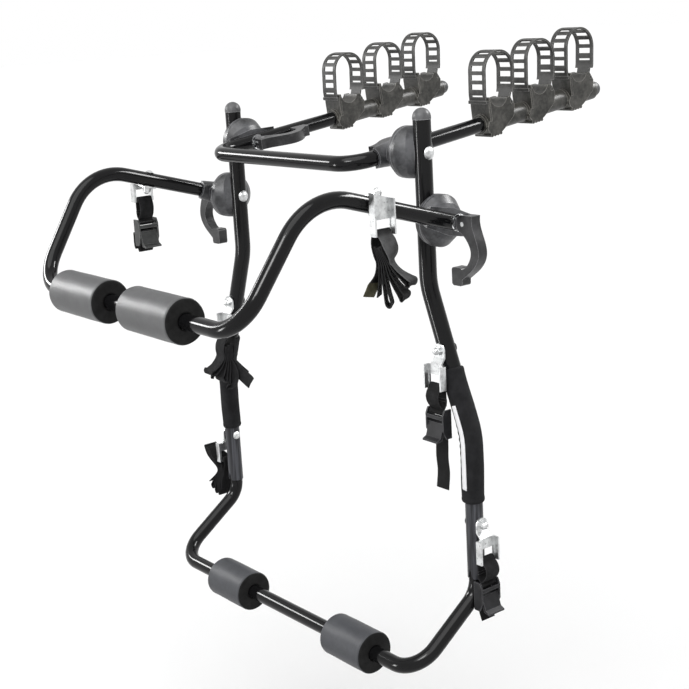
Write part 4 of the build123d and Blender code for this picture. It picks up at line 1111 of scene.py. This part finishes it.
def softbox(name, place, aim, size, radiance):
    """An area lamp seen only in reflections: its power is radiance times pi times its area."""
    data = bpy.data.lights.new(name, "AREA")
    data.shape = "RECTANGLE"
    data.size, data.size_y = size
    data.energy = radiance * np.pi * size[0] * size[1]
    obj = bpy.data.objects.new(name, data)
    obj.matrix_world = Matrix.Translation(place) @ pointed(Vector(place) - Vector(aim))
    obj.visible_diffuse = False
    obj.visible_camera = False
    scene.collection.objects.link(obj)
    return round(data.energy, 1)


for purpose, *lamp in SOFTBOXES:
    print("for", purpose, softbox(*lamp), "W")
sun_data = bpy.data.lights.new("sun", "SUN")
sun_data.energy = SUN_STRENGTH
sun_data.angle = np.radians(SUN_DEGREES)
sun = bpy.data.objects.new("sun", sun_data)
sun.matrix_world = pointed(SUN_FROM)
scene.collection.objects.link(sun)
print("sun", SUN_STRENGTH, "over", SUN_DEGREES, "degrees")

# %% [markdown]
# ## The room
# A studio is white all round, but so much white would wash the rack out. The Light Path node tells
# rays apart: the camera, gloss and glass see plain white, and all other rays get a dimmer light.

# %% Paint the room
DIM = 0.34
WHITE = (1.0, 1.0, 1.0, 1.0)
world = bpy.data.worlds.new("room")
scene.world = world
world.use_nodes = True
tree = world.node_tree
light = tree.nodes["Background"]
light.inputs["Color"].default_value = WHITE
light.inputs["Strength"].default_value = DIM
seen = tree.nodes.new("ShaderNodeBackground")
seen.inputs["Color"].default_value = WHITE
path = tree.nodes.new("ShaderNodeLightPath")
shown = path.outputs["Is Camera Ray"]
for ray in ("Is Glossy Ray", "Is Transmission Ray"):
    either = tree.nodes.new("ShaderNodeMath")
    either.operation = "MAXIMUM"
    tree.links.new(shown, either.inputs[0])
    tree.links.new(path.outputs[ray], either.inputs[1])
    shown = either.outputs[0]
mix = tree.nodes.new("ShaderNodeMixShader")
tree.links.new(shown, mix.inputs["Fac"])
tree.links.new(light.outputs[0], mix.inputs[1])
tree.links.new(seen.outputs[0], mix.inputs[2])
tree.links.new(mix.outputs[0], tree.nodes["World Output"].inputs["Surface"])
print("room light", DIM)

# %% [markdown]
# ## The floor
# The rack floats, with its shadow well below it. The floor could end in a curved sweep, but one
# very wide sheet of pale paper meets the white room without a line.

# %% Lay the floor
FLOOR_REACH = 40.0
FLOOR_DROP = 0.30
floor_z = cad_box[0][2] - FLOOR_DROP
corners = [(x * FLOOR_REACH, y * FLOOR_REACH, floor_z)
           for x, y in ((-1, -1), (1, -1), (1, 1), (-1, 1))]
floor_mesh = bpy.data.meshes.new("floor")
floor_mesh.from_pydata(corners, [], [(0, 1, 2, 3)])
floor = bpy.data.objects.new("floor", floor_mesh)
scene.collection.objects.link(floor)
paper = Finish("pale_paper", Roughness=0.9, Specular_IOR_Level=0.1)
paper.shader.inputs["Base Color"].default_value = (0.96, 0.96, 0.96, 1.0)
floor_mesh.materials.append(paper.material)
scene.view_settings.view_transform = "Standard"
print("floor at", round(floor_z, 3), "m")

# %% [markdown]
